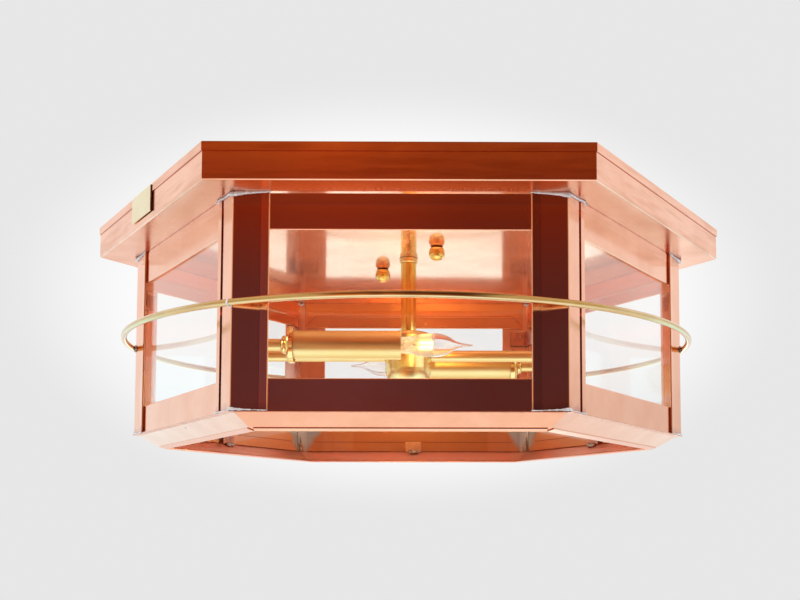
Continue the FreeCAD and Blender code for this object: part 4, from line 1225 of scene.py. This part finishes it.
@dataclass
class Studio:
    """Floor, light, surroundings and the camera."""

    floor_level: float = -1.7
    floor_half: float = 20.0
    floor_colour: Colour = (0.80, 0.80, 0.80)
    floor_roughness: float = 0.9
    backdrop: Colour = (0.80, 0.80, 0.80)
    room_ends: Colour = (0.80, 0.64, 0.40)
    left_side: Colour = (0.97, 1.08, 1.13)
    right_side: Colour = (0.82, 0.81, 0.79)
    ahead: tuple[Colour, Colour, Colour] = ((1.60, 1.92, 1.90), (0.96, 0.92, 0.90), (1.0, 1.42, 1.60))
    steep: Colour = (1.0, 0.80, 0.62)
    under: Colour = (1.3, 1.42, 1.52)
    glow_middle: tuple[float, float] = (-0.035, 0.19)
    glow_half: tuple[float, float] = (0.28, 0.155)
    camera_place: Triple = (27.55 * MM, -978.38 * MM, -253.44 * MM)
    yaw: float = math.radians(-0.39)
    pitch: float = math.radians(4.566)
    roll: float = math.radians(0.066)
    focal_pixels: float = 1204.43
    shift_pixels: tuple[float, float] = (-50.0, 140.0)
    lamp_aim: Triple = (0.0, 0.0, -0.09)
    bulb_colour: Colour = (1.0, 0.52, 0.16)
    bulb_power: float = 0.17
    bulb_along: float = 22.0

    def build(self) -> None:
        """Set up the whole studio."""
        self.floor()
        self.surroundings()
        self.lamp("key_light", (-1.6, -1.2, 1.3), 1.6, 28.0)
        self.lamp("fill_light", (1.7, -0.9, 1.0), 1.8, 16.0)
        for number, turn, lift in ((1, 0.0, 16.0), (2, math.pi, -14.0)):
            self.bulb_light(number, BulbWorks(number, turn).spot(self.bulb_along, 0.0, lift))
        self.camera()
        scene = bpy.context.scene
        scene.view_settings.view_transform = "Standard"
        scene.cycles.max_bounces = 32
        scene.cycles.glossy_bounces = 16
        scene.cycles.transmission_bounces = 32

    def floor(self) -> None:
        """Lay the pale floor."""
        mesh = bpy.data.meshes.new("pale_floor")
        spots = [(x * self.floor_half, y * self.floor_half, self.floor_level)
                 for x, y in ((-1, -1), (1, -1), (1, 1), (-1, 1))]
        mesh.from_pydata(spots, [], [(0, 1, 2, 3)])
        material = bpy.data.materials.new("pale_floor")
        material.use_nodes = True
        shader = material.node_tree.nodes["Principled BSDF"]
        shader.inputs["Base Color"].default_value = rgba(self.floor_colour)
        shader.inputs["Roughness"].default_value = self.floor_roughness
        shader.inputs["Specular IOR Level"].default_value = 0.0
        mesh.materials.append(material)
        floor = piece_object("pale_floor", mesh)
        floor.visible_glossy = False
        floor.visible_transmission = False

    def surroundings(self) -> None:
        """Pale all round, with the dim warm room behind the camera left for polished metal to mirror."""
        world = bpy.data.worlds.new("studio")
        bpy.context.scene.world = world
        world.use_nodes = True
        world.node_tree.nodes.clear()
        wire = Wiring(world.node_tree)
        ray = wire.node("ShaderNodeLightPath").outputs
        way = wire.split(wire.node("ShaderNodeTexCoord").outputs["Generated"])
        facing = wire.times_plus(way["Z"], 0.5, wire.times(way["Y"], -0.85))
        mirrored = wire.blend(wire.remap(facing, 0.02, 0.3), self.open_sides(wire, way), self.room(wire, way))
        bounced = wire.math("GREATER_THAN", ray["Glossy Depth"], 0.5)
        seen = wire.blend(bounced, self.plain(wire, way), mirrored)
        direct = ray["Is Camera Ray"]
        for kind in ("Is Glossy Ray", "Is Transmission Ray"):
            direct = wire.math("MAXIMUM", direct, ray[kind])
        sky = wire.node("ShaderNodeBackground", Color=wire.blend(direct, WHITE, seen), Strength=1.0)
        wire.feed(wire.node("ShaderNodeOutputWorld").inputs["Surface"], sky.outputs[0])

    def room(self, wire: Wiring, way: Any) -> Socket:
        """Colour the room behind the camera by its height and its breadth."""
        levels = wire.ramp(wire.remap(way["Z"], -0.6, 1.0, smooth=False), ROOM_LEVELS)
        shares = wire.ramp(wire.remap(way["X"], -0.30, 0.30, smooth=False),
                           [(place, (share,) * 3) for place, share in ROOM_SHARES])
        room = wire.blend(1.0, levels, shares)
        room.node.blend_type = "MULTIPLY"
        ends = wire.remap(wire.math("ABSOLUTE", way["X"]), 0.38, 0.62)
        return wire.blend(ends, room, self.room_ends)

    def open_sides(self, wire: Wiring, way: Any) -> Socket:
        """Colour the pale sides: at the horizon, beyond the lantern and below, and steeply under it."""
        across = wire.math("ABSOLUTE", way["X"])
        far = wire.remap(way["Y"], 0.2, 0.6)
        horizon = wire.times(wire.remap(way["Z"], 0.18, 0.10), wire.remap(way["Z"], 0.01, 0.06))
        sides = wire.blend(wire.math("GREATER_THAN", way["X"], 0.0), self.left_side, self.right_side)
        beyond = wire.times(wire.remap(way["Z"], -0.05, -0.19), far)
        middle, beside, outermost = self.ahead
        ahead = wire.blend(wire.remap(across, 0.13, 0.22), middle, beside)
        ahead = wire.blend(wire.remap(across, 0.36, 0.46), ahead, outermost)
        steep = wire.times(wire.remap(way["Z"], -0.45, -0.62), far)
        under = wire.times(wire.remap(way["Z"], -0.35, -0.65), wire.remap(way["Y"], 0.22, -0.05))
        colour: Any = WHITE
        for share, zone in ((horizon, sides), (beyond, ahead), (steep, self.steep), (under, self.under)):
            colour = wire.blend(share, colour, zone)
        return colour

    def plain(self, wire: Wiring, way: Any) -> Socket:
        """Colour the grey backdrop, with a pale glow round the lantern."""
        parts = [wire.over(wire.minus(way[axis], middle), half)
                 for axis, middle, half in zip("XZ", self.glow_middle, self.glow_half)]
        reach = wire.math("SQRT", wire.plus(*(wire.times(part, part) for part in parts)))
        ahead = wire.math("GREATER_THAN", way["Y"], 0.0)
        glow = wire.times(wire.remap(reach, 1.14, 0.70, to_high=0.85), ahead)
        return wire.blend(glow, self.backdrop, WHITE)

    def bulb_light(self, number: int, place: Vector) -> None:
        """Let a lit bulb warm its surroundings, from just outside its glass.

        Args:
            number: the bulb's number.
            place: where the light hangs.
        """
        light = bpy.data.lights.new(f"bulb_light_{number}", "POINT")
        light.color = self.bulb_colour
        light.energy = self.bulb_power
        light.shadow_soft_size = 1.5 * MM
        made = linked(light.name, light)
        made.location = place
        made.visible_camera = False
        made.visible_transmission = False

    def lamp(self, name: str, place: Triple, size: float, power: float) -> None:
        """Hang a soft box that points at the lantern.

        Args:
            name: the lamp's name.
            place: where it hangs.
            size: its width.
            power: its power in watts.
        """
        light = bpy.data.lights.new(name, "AREA")
        light.shape = "SQUARE"
        light.size = size
        light.energy = power
        made = linked(name, light)
        made.location = place
        aim = Vector(self.lamp_aim) - Vector(place)
        made.rotation_euler = aim.to_track_quat("-Z", "Y").to_euler()
        made.visible_glossy = False

    def camera(self) -> None:
        """Set the camera at the fitted place."""
        level = math.cos(self.pitch)
        forward = Vector((-math.sin(self.yaw) * level, math.cos(self.yaw) * level, math.sin(self.pitch)))
        right = Vector((math.cos(self.yaw), math.sin(self.yaw), 0.0))
        up = right.cross(forward)
        across = right * math.cos(self.roll) + up * math.sin(self.roll)
        upward = up * math.cos(self.roll) - right * math.sin(self.roll)
        lens = bpy.data.cameras.new("camera")
        lens.sensor_width = SENSOR_WIDTH
        lens.lens = self.focal_pixels / IMAGE_WIDTH * SENSOR_WIDTH
        lens.shift_x, lens.shift_y = (pixels / IMAGE_WIDTH for pixels in self.shift_pixels)
        lens.clip_start = 0.01
        made = linked("camera", lens)
        turn = Matrix((across, upward, -forward)).transposed()
        made.matrix_world = Matrix.Translation(self.camera_place) @ turn.to_4x4()
        bpy.context.scene.camera = made


def ride_all(pieces: Iterable[Piece], body: Body) -> None:
    """Fix new pieces to a body.

    Args:
        pieces: the pieces.
        body: the body that carries them.
    """
    for piece in pieces:
        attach(piece, body.value)
        LOG.info("piece %s rides on %s, %d faces", piece.name, body.value, len(piece.data.polygons))


def main() -> None:
    """Dress the lantern and set the studio."""
    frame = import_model()
    Dressing(NODE_FINISHES).dress(frame["nodes"])
    rods = RodRun()
    solder = SolderWork()
    ride_all([*solder.build(SolderRun()), solder.ring_joint(rods)], Body.LANTERN)
    ride_all(CeilingThreads().build(ThreadRun()), Body.LANTERN)
    for number, (body, turn) in enumerate(((Body.BULB_1, 0.0), (Body.BULB_2, math.pi)), start=1):
        mount, filament, wires = BulbWorks(number, turn).build(rods)
        ride_all([mount], body)
        ride_all([filament, wires], body)
        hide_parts(f"bulb_filament_{number}")
    Studio().build()


if __name__ == "__main__":
    logging.basicConfig(level=logging.INFO, format="%(name)s: %(message)s")
    main()
